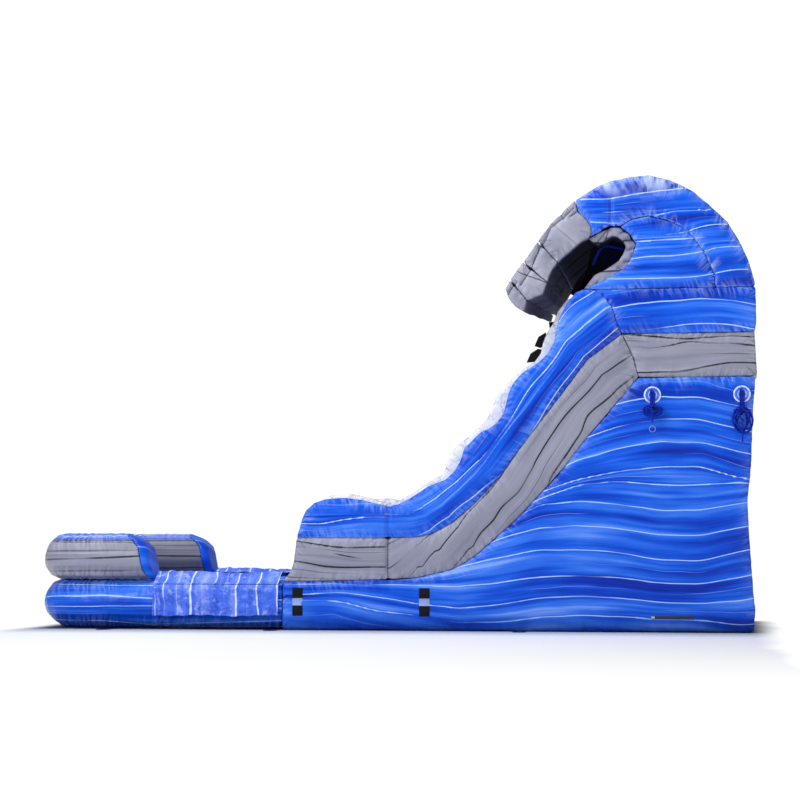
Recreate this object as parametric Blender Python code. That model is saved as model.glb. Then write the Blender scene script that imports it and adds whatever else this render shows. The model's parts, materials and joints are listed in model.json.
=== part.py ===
"""Inflatable water slide, built in metres with +Z up.

The origin is on the ground under the middle of the slide's length and width. +X points from the pool to the
tower, and the side that the photograph shows faces -Y. Every panel is a closed cushion between seams: two
neighbours share one seam curve, and each stands back from it by half the clearance.
"""

import math

import bmesh
import bpy

# Sizes, in metres.
LENGTH = 7.45
WIDTH = 3.05
HEIGHT = 4.57
CLEARANCE = 0.0003

SIDE_WALL = 0.50
OUTER_PANEL = 0.26
SEAM_ROUND = 0.05
COURSE_ROUND = 0.033
SEAM_STUB = 0.002
MITRE_LIMIT = 0.2
LONGEST_FOLD = 3
CROWN = 0.022

MATTRESS_HEIGHT = 0.22
BED_THICKNESS = 0.30
BED_CHANNELS = 5
CHANNEL_CROWN = 0.035
DECK_THICKNESS = 0.30
DECK_FRONT = 2.35
DECK_BACK = 3.02
DECK_TOP = 2.62

CLIMB_TOP_DEPTH = 0.14
CLIMB_FOOT_FRONT = 3.16
CLIMB_FOOT_BACK = 3.50
LEDGES = 5
LEDGE_REACH = 0.09
LEDGE_RISE = 0.40
FIRST_LEDGE = 0.58
LEDGE_FOOT = 0.12
LEDGE_LIP = 0.05

RUN_OUT = -1.07
TUBE_WIDTH = SIDE_WALL
TUBE_HEIGHT = 0.50
TUBE_BEND = 0.30
BUMPER_HEIGHT = 0.485
BUMPER_WIDTH = 0.50
BUMPER_END = -2.44
BUMPER_LEAN = 0.24
CAP_DEPTH = 0.12
POOL_FLOOR = 0.10

CREST_FAR_SHARE = 0.72
ROLL_WIDTH = 0.095
ROLL_INSET = 0.07
ROLL_DEPTH = 0.36

NET_THICKNESS = 0.003
NET_MESH = 0.10
NET_CORD = 0.022

MAT_START = -2.34
MAT_END = -1.10
MAT_THICKNESS = 0.006
MAT_INNER = 0.19
FOLD_HEIGHT = 0.462
SKIRT_FOOT = 0.135
SKIRT_WAVE = 0.008

PATCH_RADIUS = 0.088
PATCH_THICKNESS = 0.006
PATCH_HEIGHT = 2.35
PATCH_FRONT = 2.69
PATCH_BACK = 3.57
TETHER_RADIUS = 0.008
TETHER_DROP = 0.17
TETHER_LIFT = 0.06
BUNDLE_WIDTH = 0.22
BUNDLE_HEIGHT = 0.10
BUNDLE_BACK_HEIGHT = 0.30
BUNDLE_TURNS = 5
BUNDLE_PITCH = 0.018
TETHER_TAIL = 0.10
RING_RADIUS = 0.030
RING_WIRE = 0.004

LOOP_THICKNESS = 0.005
LOOP_WEB = 0.034
LOOP_WIDTH = 0.13
LOOP_REACH = 0.24
LOOP_POOL = -2.90
LOOP_JOIN = -1.16
LOOP_TOWER = 1.36

STRAP_THICKNESS = 0.006
STRAP_WIDTH = 0.105
STRAP_PAD = 0.008
STRAP_FOOT = 0.145
STRAP_TOP = 0.425
STRAP_FRONT = -0.905
STRAP_BACK = 0.395
PAD_HEIGHT = 0.105

ZIP_START = 2.66
ZIP_LENGTH = 0.42
ZIP_HEIGHT = 0.145
ZIP_WIDTH = 0.036
ZIP_THICKNESS = 0.004
SLIDER_LENGTH = 0.035
SLIDER_WIDTH = 0.022
SLIDER_THICKNESS = 0.007

SLEEVE_RADIUS = 0.15
SLEEVE_WALL = 0.008
SLEEVE_LENGTH = 0.48
SLEEVE_FRONT = 2.25
SLEEVE_BACK = 2.95

HANDLE_SPAN = 0.26
HANDLE_RISE = 0.060
HANDLE_WEB = 0.036
HANDLE_THICKNESS = 0.006
HANDLE_HEIGHT = 1.62
HANDLE_OFFSET = 0.42

# Seam curves, as shares of LENGTH and HEIGHT.
SHARES_SILHOUETTE = [
    (0.7591, 0.9475), (0.7859, 0.9737), (0.8060, 0.9869), (0.8315, 0.9956),
    (0.8584, 1.0000), (0.8879, 0.9869), (0.9161, 0.9628), (0.9389, 0.9300),
    (0.9617, 0.8928), (0.9779, 0.8490), (0.9899, 0.8053), (0.9966, 0.7659),
    (0.9987, 0.7484),
]
SHARES_TAIL = [
    (0.7591, 0.9475), (0.7631, 0.9212), (0.7738, 0.9037), (0.7805, 0.8862),
    (0.7805, 0.8709), (0.7765, 0.8621),
]
SHARES_EYE = [
    (0.7765, 0.8621), (0.8047, 0.8884), (0.8195, 0.8862), (0.8315, 0.8709),
    (0.8409, 0.8468), (0.8342, 0.8162), (0.8262, 0.7965), (0.8047, 0.7746),
    (0.7685, 0.7484),
]
SHARES_ARC = [
    (0.8195, 0.8862), (0.8356, 0.9015), (0.8570, 0.9081), (0.8799, 0.8993),
    (0.9000, 0.8840), (0.9161, 0.8600), (0.9295, 0.8293), (0.9389, 0.7987),
    (0.9443, 0.7746), (0.9456, 0.7484),
]
SHARES_CREST_OUTER = [
    (0.7591, 0.9475), (0.7242, 0.8950), (0.7081, 0.8578), (0.6960, 0.8293),
    (0.6879, 0.8118), (0.6785, 0.7921), (0.6705, 0.7724), (0.6638, 0.7527),
]
SHARES_CREST_TIP = [
    (0.6638, 0.7527), (0.6664, 0.7352), (0.6772, 0.7133), (0.6893, 0.7002),
    (0.6933, 0.7265),
]
SHARES_CREST_INNER = [
    (0.6933, 0.7265), (0.7148, 0.7396), (0.7208, 0.7659), (0.7255, 0.7877),
    (0.7349, 0.8096), (0.7658, 0.8534), (0.7765, 0.8621),
]
SHARES_BAND_TOP = [
    (0.3765, 0.2035), (0.5027, 0.2035), (0.5430, 0.2057), (0.5631, 0.2123),
    (0.5926, 0.2385), (0.6221, 0.2801), (0.6557, 0.3370), (0.6812, 0.3961),
    (0.7148, 0.4683), (0.7403, 0.5208), (0.7738, 0.5930), (0.8208, 0.6499),
]
SHARES_BAND_FOOT = [
    (0.3564, 0.1072), (0.4423, 0.1094), (0.5013, 0.1116), (0.5430, 0.1160),
    (0.5926, 0.1357), (0.6221, 0.1641), (0.6557, 0.2123), (0.6758, 0.2407),
    (0.7201, 0.3173), (0.7430, 0.3589), (0.7738, 0.4245), (0.8074, 0.4880),
    (0.8423, 0.5536),
]
SHARES_BAND_END = [
    (0.3765, 0.2035), (0.3725, 0.1510), (0.3685, 0.1291), (0.3564, 0.1072),
]
SHARES_MITRE = [
    (0.8208, 0.6499), (0.8356, 0.5974), (0.8423, 0.5536),
]
SHARES_BLOCK_BACK = [
    (0.8423, 0.5536), (1.0000, 0.5536), (0.9966, 0.6499), (0.8208, 0.6499),
]
SHARES_BACK = [
    (0.9980, 0.5536), (0.9940, 0.4836), (0.9899, 0.3567), (0.9846, 0.2845),
    (0.9872, 0.1904), (0.9913, 0.0919), (0.9940, 0.0481), (0.9913, 0.0000),
]
SHARES_SHOULDER_BACK = [
    (0.9966, 0.6499), (0.9993, 0.6674), (0.9987, 0.7484),
]
SHARES_SHOULDER_SEAM = [
    (0.7819, 0.7484), (0.7953, 0.7374), (0.8087, 0.7068), (0.8154, 0.6674),
    (0.8208, 0.6499),
]
SHARES_SCALLOPS = [
    (0.3765, 0.2035), (0.3832, 0.2451), (0.3886, 0.2648), (0.4007, 0.2823),
    (0.4168, 0.2910), (0.4423, 0.2932), (0.4624, 0.2888), (0.4826, 0.2801),
    (0.5027, 0.2735), (0.5161, 0.2779), (0.5309, 0.2888), (0.5577, 0.3173),
    (0.5819, 0.3326), (0.5940, 0.3501), (0.6020, 0.3720), (0.6074, 0.4004),
    (0.6168, 0.4158), (0.6302, 0.4376), (0.6409, 0.4442), (0.6517, 0.4573),
    (0.6597, 0.4748), (0.6638, 0.4945), (0.6678, 0.5230), (0.6745, 0.5449),
    (0.6852, 0.5646), (0.7094, 0.5908), (0.7215, 0.6105), (0.7295, 0.6346),
    (0.7322, 0.6608), (0.7376, 0.6893), (0.7470, 0.7177), (0.7591, 0.7418),
    (0.7685, 0.7484),
]
SHARES_LINER = [
    (0.3765, 0.2035), (0.3846, 0.2495), (0.3993, 0.2845), (0.4181, 0.2998),
    (0.4490, 0.3020), (0.4718, 0.2932), (0.4960, 0.2823), (0.5161, 0.2910),
    (0.5362, 0.3085), (0.5604, 0.3348), (0.5738, 0.3457), (0.5779, 0.3632),
    (0.5846, 0.3939), (0.5953, 0.4114), (0.6154, 0.4376), (0.6329, 0.4661),
    (0.6383, 0.4814), (0.6436, 0.5033), (0.6517, 0.5295), (0.6705, 0.5602),
    (0.6839, 0.5799), (0.7000, 0.5974), (0.7081, 0.6149), (0.7121, 0.6389),
    (0.7174, 0.6586), (0.7268, 0.6827), (0.7322, 0.7068), (0.7443, 0.7330),
    (0.7685, 0.7484),
]
SHARES_BED = [
    (0.3564, 0.1138), (0.4329, 0.1182), (0.4866, 0.1313), (0.5336, 0.1619),
    (0.5805, 0.2188), (0.6342, 0.3020), (0.7013, 0.4114), (0.7550, 0.4989),
    (0.7886, 0.5514), (0.8154, 0.5733),
]
SHARES_NET = [
    (0.6879, 0.5689), (0.7148, 0.5952), (0.7362, 0.6455), (0.7577, 0.7002),
    (0.7953, 0.7352), (0.8356, 0.7790), (0.8517, 0.8271), (0.8463, 0.8665),
    (0.8248, 0.8818), (0.7980, 0.8731), (0.7765, 0.8534), (0.7685, 0.7921),
    (0.7497, 0.7484), (0.7228, 0.7002), (0.7013, 0.6389),
]

# A cushion's edge: how far in from the seam, and how far back from the crown, in shares of the rounding.
SHARES_EDGE = [(0.0, 1.0, 1.0), (0.3, 0.3, 1.0), (1.0, 0.0, 0.6), (2.5, 0.0, 0.0)]
# The pool tube's section: across and up, in shares of its width and height.
SHARES_TUBE = [
    (-0.36, 0.0), (0.14, 0.0), (0.34, 0.11), (0.46, 0.31), (0.50, 0.50), (0.47, 0.72), (0.40, 0.92),
    (0.24, 1.0), (-0.24, 1.0), (-0.42, 0.90), (-0.49, 0.60), (-0.48, 0.24),
]
SHARES_BUMPER = [
    (-0.24, 0.0), (0.24, 0.0), (0.42, 0.09), (0.50, 0.30), (0.495, 0.52), (0.43, 0.78), (0.28, 0.95),
    (0.02, 1.0), (-0.28, 0.93), (-0.44, 0.72), (-0.49, 0.40), (-0.42, 0.09),
]
SHARES_CAP = [(0.0, 1.0), (0.5, 0.96), (0.85, 0.84), (1.0, 0.66)]
EYE_CORNER = SHARES_EYE.index(SHARES_ARC[0])
COURSE_CUTS = (2, 4, 6)

HALF = WIDTH / 2
INNER = HALF - SIDE_WALL
NEAR, FAR = -1, 1
SIDES = (("near", NEAR), ("far", FAR))


def plane(shares):
    """Seam points in metres, as (x, z)."""
    return [(sx * LENGTH - LENGTH / 2, sz * HEIGHT) for sx, sz in shares]


def material(name, colour, roughness, metallic=0.0):
    made = bpy.data.materials.new(name)
    made.use_nodes = True
    shader = made.node_tree.nodes["Principled BSDF"]
    shader.inputs["Base Color"].default_value = (*colour, 1.0)
    shader.inputs["Roughness"].default_value = roughness
    shader.inputs["Metallic"].default_value = metallic
    made.diffuse_color = (*colour, 1.0)
    return made


def add(name, verts, faces, made, origin=(0, 0, 0)):
    """One closed body, with its origin where its joint is."""
    mesh = bpy.data.meshes.new(name)
    ox, oy, oz = origin
    mesh.from_pydata([(x - ox, y - oy, z - oz) for x, y, z in verts], [], faces)
    work = bmesh.new()
    work.from_mesh(mesh)
    bmesh.ops.recalc_face_normals(work, faces=work.faces)
    work.to_mesh(mesh)
    work.free()
    mesh.materials.append(made)
    made_object = bpy.data.objects.new(name, mesh)
    made_object.location = origin
    bpy.context.scene.collection.objects.link(made_object)
    return made_object


def stitch(rings, closed=False):
    """Faces between rings of equal length, with a cap at each end unless the run closes on itself."""
    count = len(rings[0])
    verts = [point for ring in rings for point in ring]
    faces = []
    runs = len(rings) if closed else len(rings) - 1
    for i in range(runs):
        a = i * count
        b = (i + 1) % len(rings) * count
        for j in range(count):
            k = (j + 1) % count
            faces.append((a + j, a + k, b + k, b + j))
    if not closed:
        faces.append(tuple(reversed(range(count))))
        faces.append(tuple(range((len(rings) - 1) * count, len(rings) * count)))
    return verts, faces


def area(points):
    total = 0.0
    for (x0, z0), (x1, z1) in zip(points, points[1:] + points[:1]):
        total += x0 * z1 - x1 * z0
    return total / 2


def meeting(a, b, c, d, within=True):
    """The point where the line through a and b crosses the line through c and d, within both runs or anywhere."""
    (ax, az), (bx, bz), (cx, cz), (dx, dz) = a, b, c, d
    cross = (bx - ax) * (dz - cz) - (bz - az) * (dx - cx)
    if cross == 0:
        return None
    first = ((cx - ax) * (dz - cz) - (cz - az) * (dx - cx)) / cross
    second = ((cx - ax) * (bz - az) - (cz - az) * (bx - ax)) / cross
    if within and (min(first, second) < 0 or max(first, second) > 1):
        return None
    return ax + first * (bx - ax), az + first * (bz - az)


def drawn_together(points, moved, first, count):
    """Moves the run of points that starts at first to stubs about one place, where its edges would fold over."""
    total = len(points)
    last = (first + count) % total
    (ax, az), (bx, bz) = points[first], points[last]
    (px, pz), (qx, qz) = moved[first], moved[last]
    lines = moved[first - 1], moved[first], moved[last], moved[(last + 1) % total]
    turned = (qx - px) * (bx - ax) + (qz - pz) * (bz - az) <= 0
    if not turned and not meeting(*lines):
        return
    middle = (px + qx) / 2, (pz + qz) / 2
    place = meeting(*lines, within=False) or middle
    if math.dist(place, middle) > math.dist((px, pz), (qx, qz)):
        place = middle
    size = math.dist(points[first], points[last])
    for k in range(count + 1):
        shift = SEAM_STUB * (k / count - 1 / 2) / size
        moved[(first + k) % total] = (place[0] + (bx - ax) * shift, place[1] + (bz - az) * shift)


def inset(points, depth):
    """The outline moved inwards by depth. An edge too short for it shrinks to a stub."""
    turn = 1 if area(points) > 0 else -1
    moved = []
    for i, (x, z) in enumerate(points):
        px, pz = points[i - 1]
        nx, nz = points[(i + 1) % len(points)]
        ax, az = x - px, z - pz
        bx, bz = nx - x, nz - z
        la, lb = math.hypot(ax, az), math.hypot(bx, bz)
        mx, mz = -(az / la + bz / lb) * turn, (ax / la + bx / lb) * turn
        size = math.hypot(mx, mz)
        mx, mz = mx / size, mz / size
        lean = max(-az / la * turn * mx + ax / la * turn * mz, MITRE_LIMIT)
        moved.append((x + mx * depth / lean, z + mz * depth / lean))
    for count in range(1, min(LONGEST_FOLD, len(points) - 3) + 1):
        for first in range(len(points)):
            drawn_together(points, moved, first, count)
    return moved


def shrunk(points, share):
    """The outline drawn in evenly about its middle."""
    cx = sum(x for x, z in points) / len(points)
    cz = sum(z for x, z in points) / len(points)
    return [(cx + (x - cx) * share, cz + (z - cz) * share) for x, z in points]


def clean(points):
    """The outline without a point that repeats the one before it."""
    kept = []
    for point in points:
        if not kept or math.dist(point, kept[-1]) > CLEARANCE:
            kept.append(point)
    if math.dist(kept[0], kept[-1]) <= CLEARANCE:
        kept.pop()
    return kept


def cushion(name, outline, y0, y1, made, seam=SEAM_ROUND, crown=CROWN, far=None, far_share=1.0, foot=False, small=False):
    """A panel between two planes, rounded at its seams and crowned on its faces."""
    start = inset(clean(outline), CLEARANCE / 2)
    end = inset(clean(far), CLEARANCE / 2) if far else start
    across = 2 * math.sqrt(abs(area(start)) / math.pi)
    near_rings, far_rings = [], []
    for share_in, share_round, share_crown in SHARES_EDGE:
        back = share_round * seam + share_crown * crown
        depth = share_in * seam
        near_line = shrunk(start, 1 - depth / across) if small else inset(start, depth)
        far_line = shrunk(end, 1 - depth / across) if small else inset(end, depth * far_share)
        near_rings.append([(x, y0 + back, z) for x, z in near_line])
        far_rings.append([(x, y1 - back, z) for x, z in far_line])
    rings = near_rings[::-1] + far_rings
    if foot:
        rings = [[(x, y, max(z, 0.0)) for x, y, z in ring] for ring in rings]
    return add(name, *stitch(rings), made)


def edge_back(depth):
    """How far a cushion's face lies behind its crown, at a depth from the seam."""
    marks = [(i * SEAM_ROUND, r * SEAM_ROUND + c * CROWN) for i, r, c in SHARES_EDGE]
    for (d0, b0), (d1, b1) in zip(marks, marks[1:]):
        if depth <= d1:
            return b0 + (b1 - b0) * (depth - d0) / (d1 - d0)
    return 0.0


def span(side, a, b):
    """Two Y planes of one side, in rising order, given as distances from the middle."""
    return (-b, -a) if side == NEAR else (a, b)


def box(name, low, high, made, origin=(0, 0, 0)):
    (x0, y0, z0), (x1, y1, z1) = low, high
    rings = []
    for x in (x0, x1):
        rings.append([(x, y0, z0), (x, y1, z0), (x, y1, z1), (x, y0, z1)])
    return add(name, *stitch(rings), made, origin)


def tube(name, path, radius, made, sides=6, origin=(0, 0, 0), closed=False):
    """A round cord along a path, with its section turned to follow it."""
    rings = []
    count = len(path)
    up = (0.0, 1.0, 0.0)
    for i, point in enumerate(path):
        if closed:
            before, after = path[i - 1], path[(i + 1) % count]
        else:
            before, after = path[max(i - 1, 0)], path[min(i + 1, count - 1)]
        t = [after[k] - before[k] for k in range(3)]
        size = math.sqrt(sum(c * c for c in t))
        t = [c / size for c in t]
        a = [up[1] * t[2] - up[2] * t[1], up[2] * t[0] - up[0] * t[2], up[0] * t[1] - up[1] * t[0]]
        size = math.sqrt(sum(c * c for c in a))
        a = [c / size for c in a]
        b = [t[1] * a[2] - t[2] * a[1], t[2] * a[0] - t[0] * a[2], t[0] * a[1] - t[1] * a[0]]
        ring = []
        for s in range(sides):
            turn = 2 * math.pi * s / sides
            ca, sa = radius * math.cos(turn), radius * math.sin(turn)
            ring.append(tuple(point[k] + ca * a[k] + sa * b[k] for k in range(3)))
        rings.append(ring)
    return add(name, *stitch(rings, closed), made, origin)


# Clear the scene.
for old in list(bpy.data.objects):
    bpy.data.objects.remove(old, do_unlink=True)

BLUE = material("blue_vinyl", (0.02, 0.09, 0.62), 0.3)
GREY = material("grey_vinyl", (0.42, 0.40, 0.44), 0.4)
PALE = material("pale_vinyl", (0.75, 0.75, 0.78), 0.4)
MESH = material("black_mesh", (0.01, 0.01, 0.012), 0.8)
WEB = material("blue_webbing", (0.01, 0.03, 0.25), 0.8)
CLEAR = material("clear_patch", (0.35, 0.45, 0.75), 0.25)
DARK = material("dark_hook_tape", (0.03, 0.03, 0.03), 0.8)
STEEL = material("ring_steel", (0.6, 0.6, 0.62), 0.3, 1.0)

silhouette = plane(SHARES_SILHOUETTE)
tail = plane(SHARES_TAIL)
eye = plane(SHARES_EYE)
arc = plane(SHARES_ARC)
crest_outer = plane(SHARES_CREST_OUTER)
crest_tip = plane(SHARES_CREST_TIP)
crest_inner = plane(SHARES_CREST_INNER)
band_top = plane(SHARES_BAND_TOP)
band_foot = plane(SHARES_BAND_FOOT)
band_end = plane(SHARES_BAND_END)
mitre = plane(SHARES_MITRE)
block_back = plane(SHARES_BLOCK_BACK)
back = plane(SHARES_BACK)
shoulder_back = plane(SHARES_SHOULDER_BACK)
shoulder_seam = plane(SHARES_SHOULDER_SEAM)
scallops = plane(SHARES_SCALLOPS)
liner = plane(SHARES_LINER)
bed_line = plane(SHARES_BED)

# Side panels, seam to seam.
tower_line = [(RUN_OUT, 0.0)] + band_foot + [back[0]] + back[1:]
band_line = band_foot + mitre[1:-1][::-1] + band_top[::-1] + band_end[1:-1]
block_line = mitre + block_back[1:3]
shoulder_line = shoulder_seam[::-1] + [shoulder_back[2], shoulder_back[1], shoulder_back[0]]
wall_line = band_top + shoulder_seam[::-1][1:] + scallops[::-1][:-1]
liner_line = band_top + shoulder_seam[::-1][1:] + liner[::-1][:-1]
cheek_line = eye[EYE_CORNER:] + [arc[-1]] + arc[::-1][1:-1]
roof_line = silhouette + arc[::-1][:-1] + eye[:EYE_CORNER + 1][::-1] + tail[::-1][1:-1]

for label, side in SIDES:
    outer = span(side, INNER, HALF)
    cushion(f"tower_side_{label}", tower_line, *outer, BLUE, foot=True)
    cushion(f"band_{label}", band_line, *outer, GREY)
    cushion(f"block_{label}", block_line, *outer, GREY)
    cushion(f"shoulder_{label}", shoulder_line, *outer, BLUE)
    cushion(f"hood_cheek_{label}", cheek_line, *outer, BLUE, seam=COURSE_ROUND)
    outside = span(side, HALF - OUTER_PANEL + CLEARANCE / 2, HALF)
    inside = span(side, INNER, HALF - OUTER_PANEL - CLEARANCE / 2)
    cushion(f"wall_{label}", wall_line, *outside, BLUE)
    cushion(f"liner_{label}", liner_line, *inside, PALE, seam=COURSE_ROUND)

# Hood: roof and the four courses of its crest, shorter towards the far side.
cushion("hood_roof", roof_line, -HALF, HALF, BLUE)


def drawn_back(points):
    """The far end of the crest's hanging courses, drawn in towards the outer end of their first seam."""
    return [(root_x + (x - root_x) * CREST_FAR_SHARE, root_z + (z - root_z) * CREST_FAR_SHARE) for x, z in points]


cut_a, cut_b, cut_c = COURSE_CUTS
root_x, root_z = crest_outer[cut_a]
courses = [
    crest_outer[:cut_a + 1] + crest_inner[4:] + tail[::-1][1:-1],
    crest_outer[cut_a:cut_b + 1] + crest_inner[2:5],
    crest_outer[cut_b:cut_c + 1] + crest_inner[:3],
    crest_outer[cut_c:] + crest_tip[1:],
]
for number, course in enumerate(courses, 1):
    hanging = number > 1
    far_end = drawn_back(course) if hanging else course
    share = CREST_FAR_SHARE if hanging else 1.0
    cushion(
        f"crest_course_{number}", course, -HALF, HALF, GREY, seam=COURSE_ROUND, far=far_end, far_share=share,
        small=number == len(courses),
    )

# Lane: mattress, sliding bed, deck and climbing wall.
lane = INNER - CLEARANCE
mattress_end = CLIMB_FOOT_BACK + LEDGE_REACH
box(
    "base_mattress", (RUN_OUT + CLEARANCE, -lane, 0.0), (mattress_end, lane, MATTRESS_HEIGHT), BLUE,
)


def bed_section(x, z, last):
    """Five crowned channels over a flat back."""
    points = []
    pitch = 2 * lane / BED_CHANNELS
    for channel in range(BED_CHANNELS):
        left = -lane + channel * pitch
        for share, rise in ((0.0, 0.0), (0.22, 0.8), (0.5, 1.0), (0.78, 0.8)):
            points.append((x, left + share * pitch, z + rise * CHANNEL_CROWN))
    points.append((x, lane, z))
    foot = max(z - BED_THICKNESS, MATTRESS_HEIGHT + CLEARANCE)
    points.append((x, lane, foot))
    points.append((x, -lane, foot))
    return points


rings = []
for i, (x, z) in enumerate(bed_line):
    at = x + CLEARANCE if i == 0 else x
    rings.append(bed_section(at, z - CHANNEL_CROWN, i == len(bed_line) - 1))
add("slide_bed", *stitch(rings), BLUE)

deck = [
    (DECK_FRONT, DECK_TOP - DECK_THICKNESS), (DECK_BACK, DECK_TOP - DECK_THICKNESS), (DECK_BACK, DECK_TOP),
    (DECK_FRONT, DECK_TOP),
]
cushion("platform_deck", deck, -lane, lane, BLUE, seam=COURSE_ROUND)

foot_level = MATTRESS_HEIGHT + CLEARANCE
top_x = DECK_BACK + CLIMB_TOP_DEPTH


def climb_face(z):
    """The climbing wall's bare face between its ledges."""
    share = (z - foot_level) / (DECK_TOP - foot_level)
    return CLIMB_FOOT_BACK + (top_x - CLIMB_FOOT_BACK) * share


climb = [(DECK_BACK, DECK_TOP), (top_x, DECK_TOP)]
for step in range(LEDGES - 1, -1, -1):
    level = FIRST_LEDGE + step * LEDGE_RISE
    upper, lower = level + LEDGE_LIP, level - LEDGE_FOOT
    climb += [(climb_face(upper), upper), (climb_face(level) + LEDGE_REACH, level), (climb_face(lower), lower)]
climb += [(CLIMB_FOOT_BACK, foot_level), (CLIMB_FOOT_FRONT, foot_level)]
climb += [(DECK_BACK, DECK_TOP - DECK_THICKNESS - SEAM_ROUND)]
cushion("climb_wall", climb, -lane, lane, BLUE, seam=LEDGE_LIP / 4, crown=CLEARANCE)

climb_side = climb[1:-2]


def climb_at(z):
    """The climbing wall's face at a height, with its ledges."""
    for (x0, z0), (x1, z1) in zip(climb_side, climb_side[1:]):
        if z1 <= z <= z0:
            return x0 + (x1 - x0) * (z0 - z) / (z0 - z1)
    return climb_face(z)


for label, side in SIDES:
    rings = []
    middle = side * HANDLE_OFFSET
    arch = [(-0.5, 0.0), (-0.36, 1.0), (0.36, 1.0), (0.5, 0.0)]
    for share_y, share_rise in arch:
        ring = []
        for out, up in ((0, -1), (1, -1), (1, 1), (0, 1)):
            z = HANDLE_HEIGHT + up * HANDLE_WEB / 2
            y = middle + share_y * HANDLE_SPAN
            x = climb_at(z) + CLEARANCE + share_rise * HANDLE_RISE + out * HANDLE_THICKNESS
            ring.append((x, y, z))
        rings.append(ring)
    add(f"climb_handle_{label}", *stitch(rings), WEB)

# Pool: ring, floor, bumper with its end caps.
CENTRE = HALF - TUBE_WIDTH / 2
BUMPER_CENTRE = HALF - BUMPER_WIDTH / 2
BEND_STEPS = 5


def u_path(end_x, centre):
    """Stations round the pool's end: centre and outward direction."""
    stations = [(end_x, -centre, 0.0, -1.0)]
    for side in (NEAR, FAR):
        cx, cy = -LENGTH / 2 + HALF - centre + TUBE_BEND, side * (centre - TUBE_BEND)
        for i in range(BEND_STEPS + 1):
            step = i if side == NEAR else BEND_STEPS - i
            turn = math.pi / 2 * step / BEND_STEPS
            ox, oy = -math.sin(turn), side * math.cos(turn)
            stations.append((cx + TUBE_BEND * ox, cy + TUBE_BEND * oy, ox, oy))
    stations.append((end_x, centre, 0.0, 1.0))
    return stations


def u_tube(name, shares, width, height, base, end_x, lean, made):
    rings = []
    stations = u_path(end_x, HALF - width / 2)
    for i, (x, y, ox, oy) in enumerate(stations):
        at_end = i in (0, len(stations) - 1)
        ring = []
        for su, sz in shares:
            shift = -lean * sz if at_end else 0.0
            ring.append((x + ox * su * width + shift, y + oy * su * width, base + sz * height))
        rings.append(ring)
    return add(name, *stitch(rings), made)


u_tube("pool_ring", SHARES_TUBE, TUBE_WIDTH, TUBE_HEIGHT, 0.0, RUN_OUT - CLEARANCE, 0.0, BLUE)
deck_level = TUBE_HEIGHT + CLEARANCE
u_tube("pool_bumper", SHARES_BUMPER, BUMPER_WIDTH, BUMPER_HEIGHT, deck_level, BUMPER_END, BUMPER_LEAN, GREY)

for label, side in SIDES:
    rings = []
    for share_depth, share_size in SHARES_CAP:
        ring = []
        for su, sz in SHARES_BUMPER:
            up = 0.5 + (sz - 0.5) * share_size if sz > 0.5 else sz * share_size + (1 - share_size) * 0.12
            x = BUMPER_END + CLEARANCE + share_depth * CAP_DEPTH - BUMPER_LEAN * up
            y = side * (BUMPER_CENTRE + su * share_size * BUMPER_WIDTH)
            ring.append((x, y, deck_level + up * BUMPER_HEIGHT))
        rings.append(ring)
    add(f"bumper_cap_{label}", *stitch(rings), BLUE)

# The floor follows the ring's inner wall round both corners.
inner_u = max(-su for su, sz in SHARES_TUBE) * TUBE_WIDTH + CLEARANCE
floor_plan = [(x - ox * inner_u, y - oy * inner_u) for x, y, ox, oy in u_path(RUN_OUT - CLEARANCE, CENTRE)]
floor_rings = [[(x, y, z) for x, y in floor_plan] for z in (0.0, POOL_FLOOR)]
add("pool_floor", *stitch(floor_rings), BLUE)

# Entry mats over the ring, and the skirts that hang from them.
FOLDS = 8
FOLD_STEPS = 4
for label, side in SIDES:
    flat_u = 0.24 * TUBE_WIDTH
    round_u = 0.40 * TUBE_WIDTH
    fold_u = HALF - CENTRE + CLEARANCE
    lip = TUBE_HEIGHT + CLEARANCE
    shoulder_z = 0.92 * TUBE_HEIGHT + 2 * CLEARANCE
    under = [(-flat_u, lip), (flat_u, lip), (round_u, shoulder_z), (fold_u, FOLD_HEIGHT - MAT_THICKNESS)]
    over = [(-flat_u, lip + MAT_THICKNESS), (flat_u + MAT_THICKNESS / 2, lip + MAT_THICKNESS)]
    over += [(round_u, shoulder_z + MAT_THICKNESS), (fold_u + MAT_THICKNESS, FOLD_HEIGHT)]
    under.append((fold_u + MAT_THICKNESS, FOLD_HEIGHT - MAT_THICKNESS))
    section = under + over[::-1]
    rings = []
    for x in (MAT_START, MAT_END):
        rings.append([(x, side * (CENTRE + u), z) for u, z in section])
    add(f"entry_mat_{label}", *stitch(rings), BLUE)

    top = FOLD_HEIGHT - MAT_THICKNESS - CLEARANCE
    rings = []
    for i in range(FOLDS * FOLD_STEPS + 1):
        share = i / (FOLDS * FOLD_STEPS)
        x = MAT_START + (MAT_END - MAT_START) * share
        wave = SKIRT_WAVE * (1 - math.cos(2 * math.pi * i / FOLD_STEPS)) / 2
        ring = []
        for drop, fall in ((0.0, 0.0), (0.5, 0.6), (1.0, 1.0)):
            z = top + (SKIRT_FOOT - top) * drop
            ring.append((x, side * (HALF + CLEARANCE + wave * fall), z))
        for drop, fall in ((1.0, 1.0), (0.5, 0.6), (0.0, 0.0)):
            z = top + (SKIRT_FOOT - top) * drop
            ring.append((x, side * (HALF + CLEARANCE + MAT_THICKNESS + wave * fall), z))
        rings.append(ring)
    pivot = (MAT_START, side * (HALF + CLEARANCE + MAT_THICKNESS), top)
    add(f"entry_skirt_{label}", *stitch(rings), BLUE, pivot)

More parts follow.
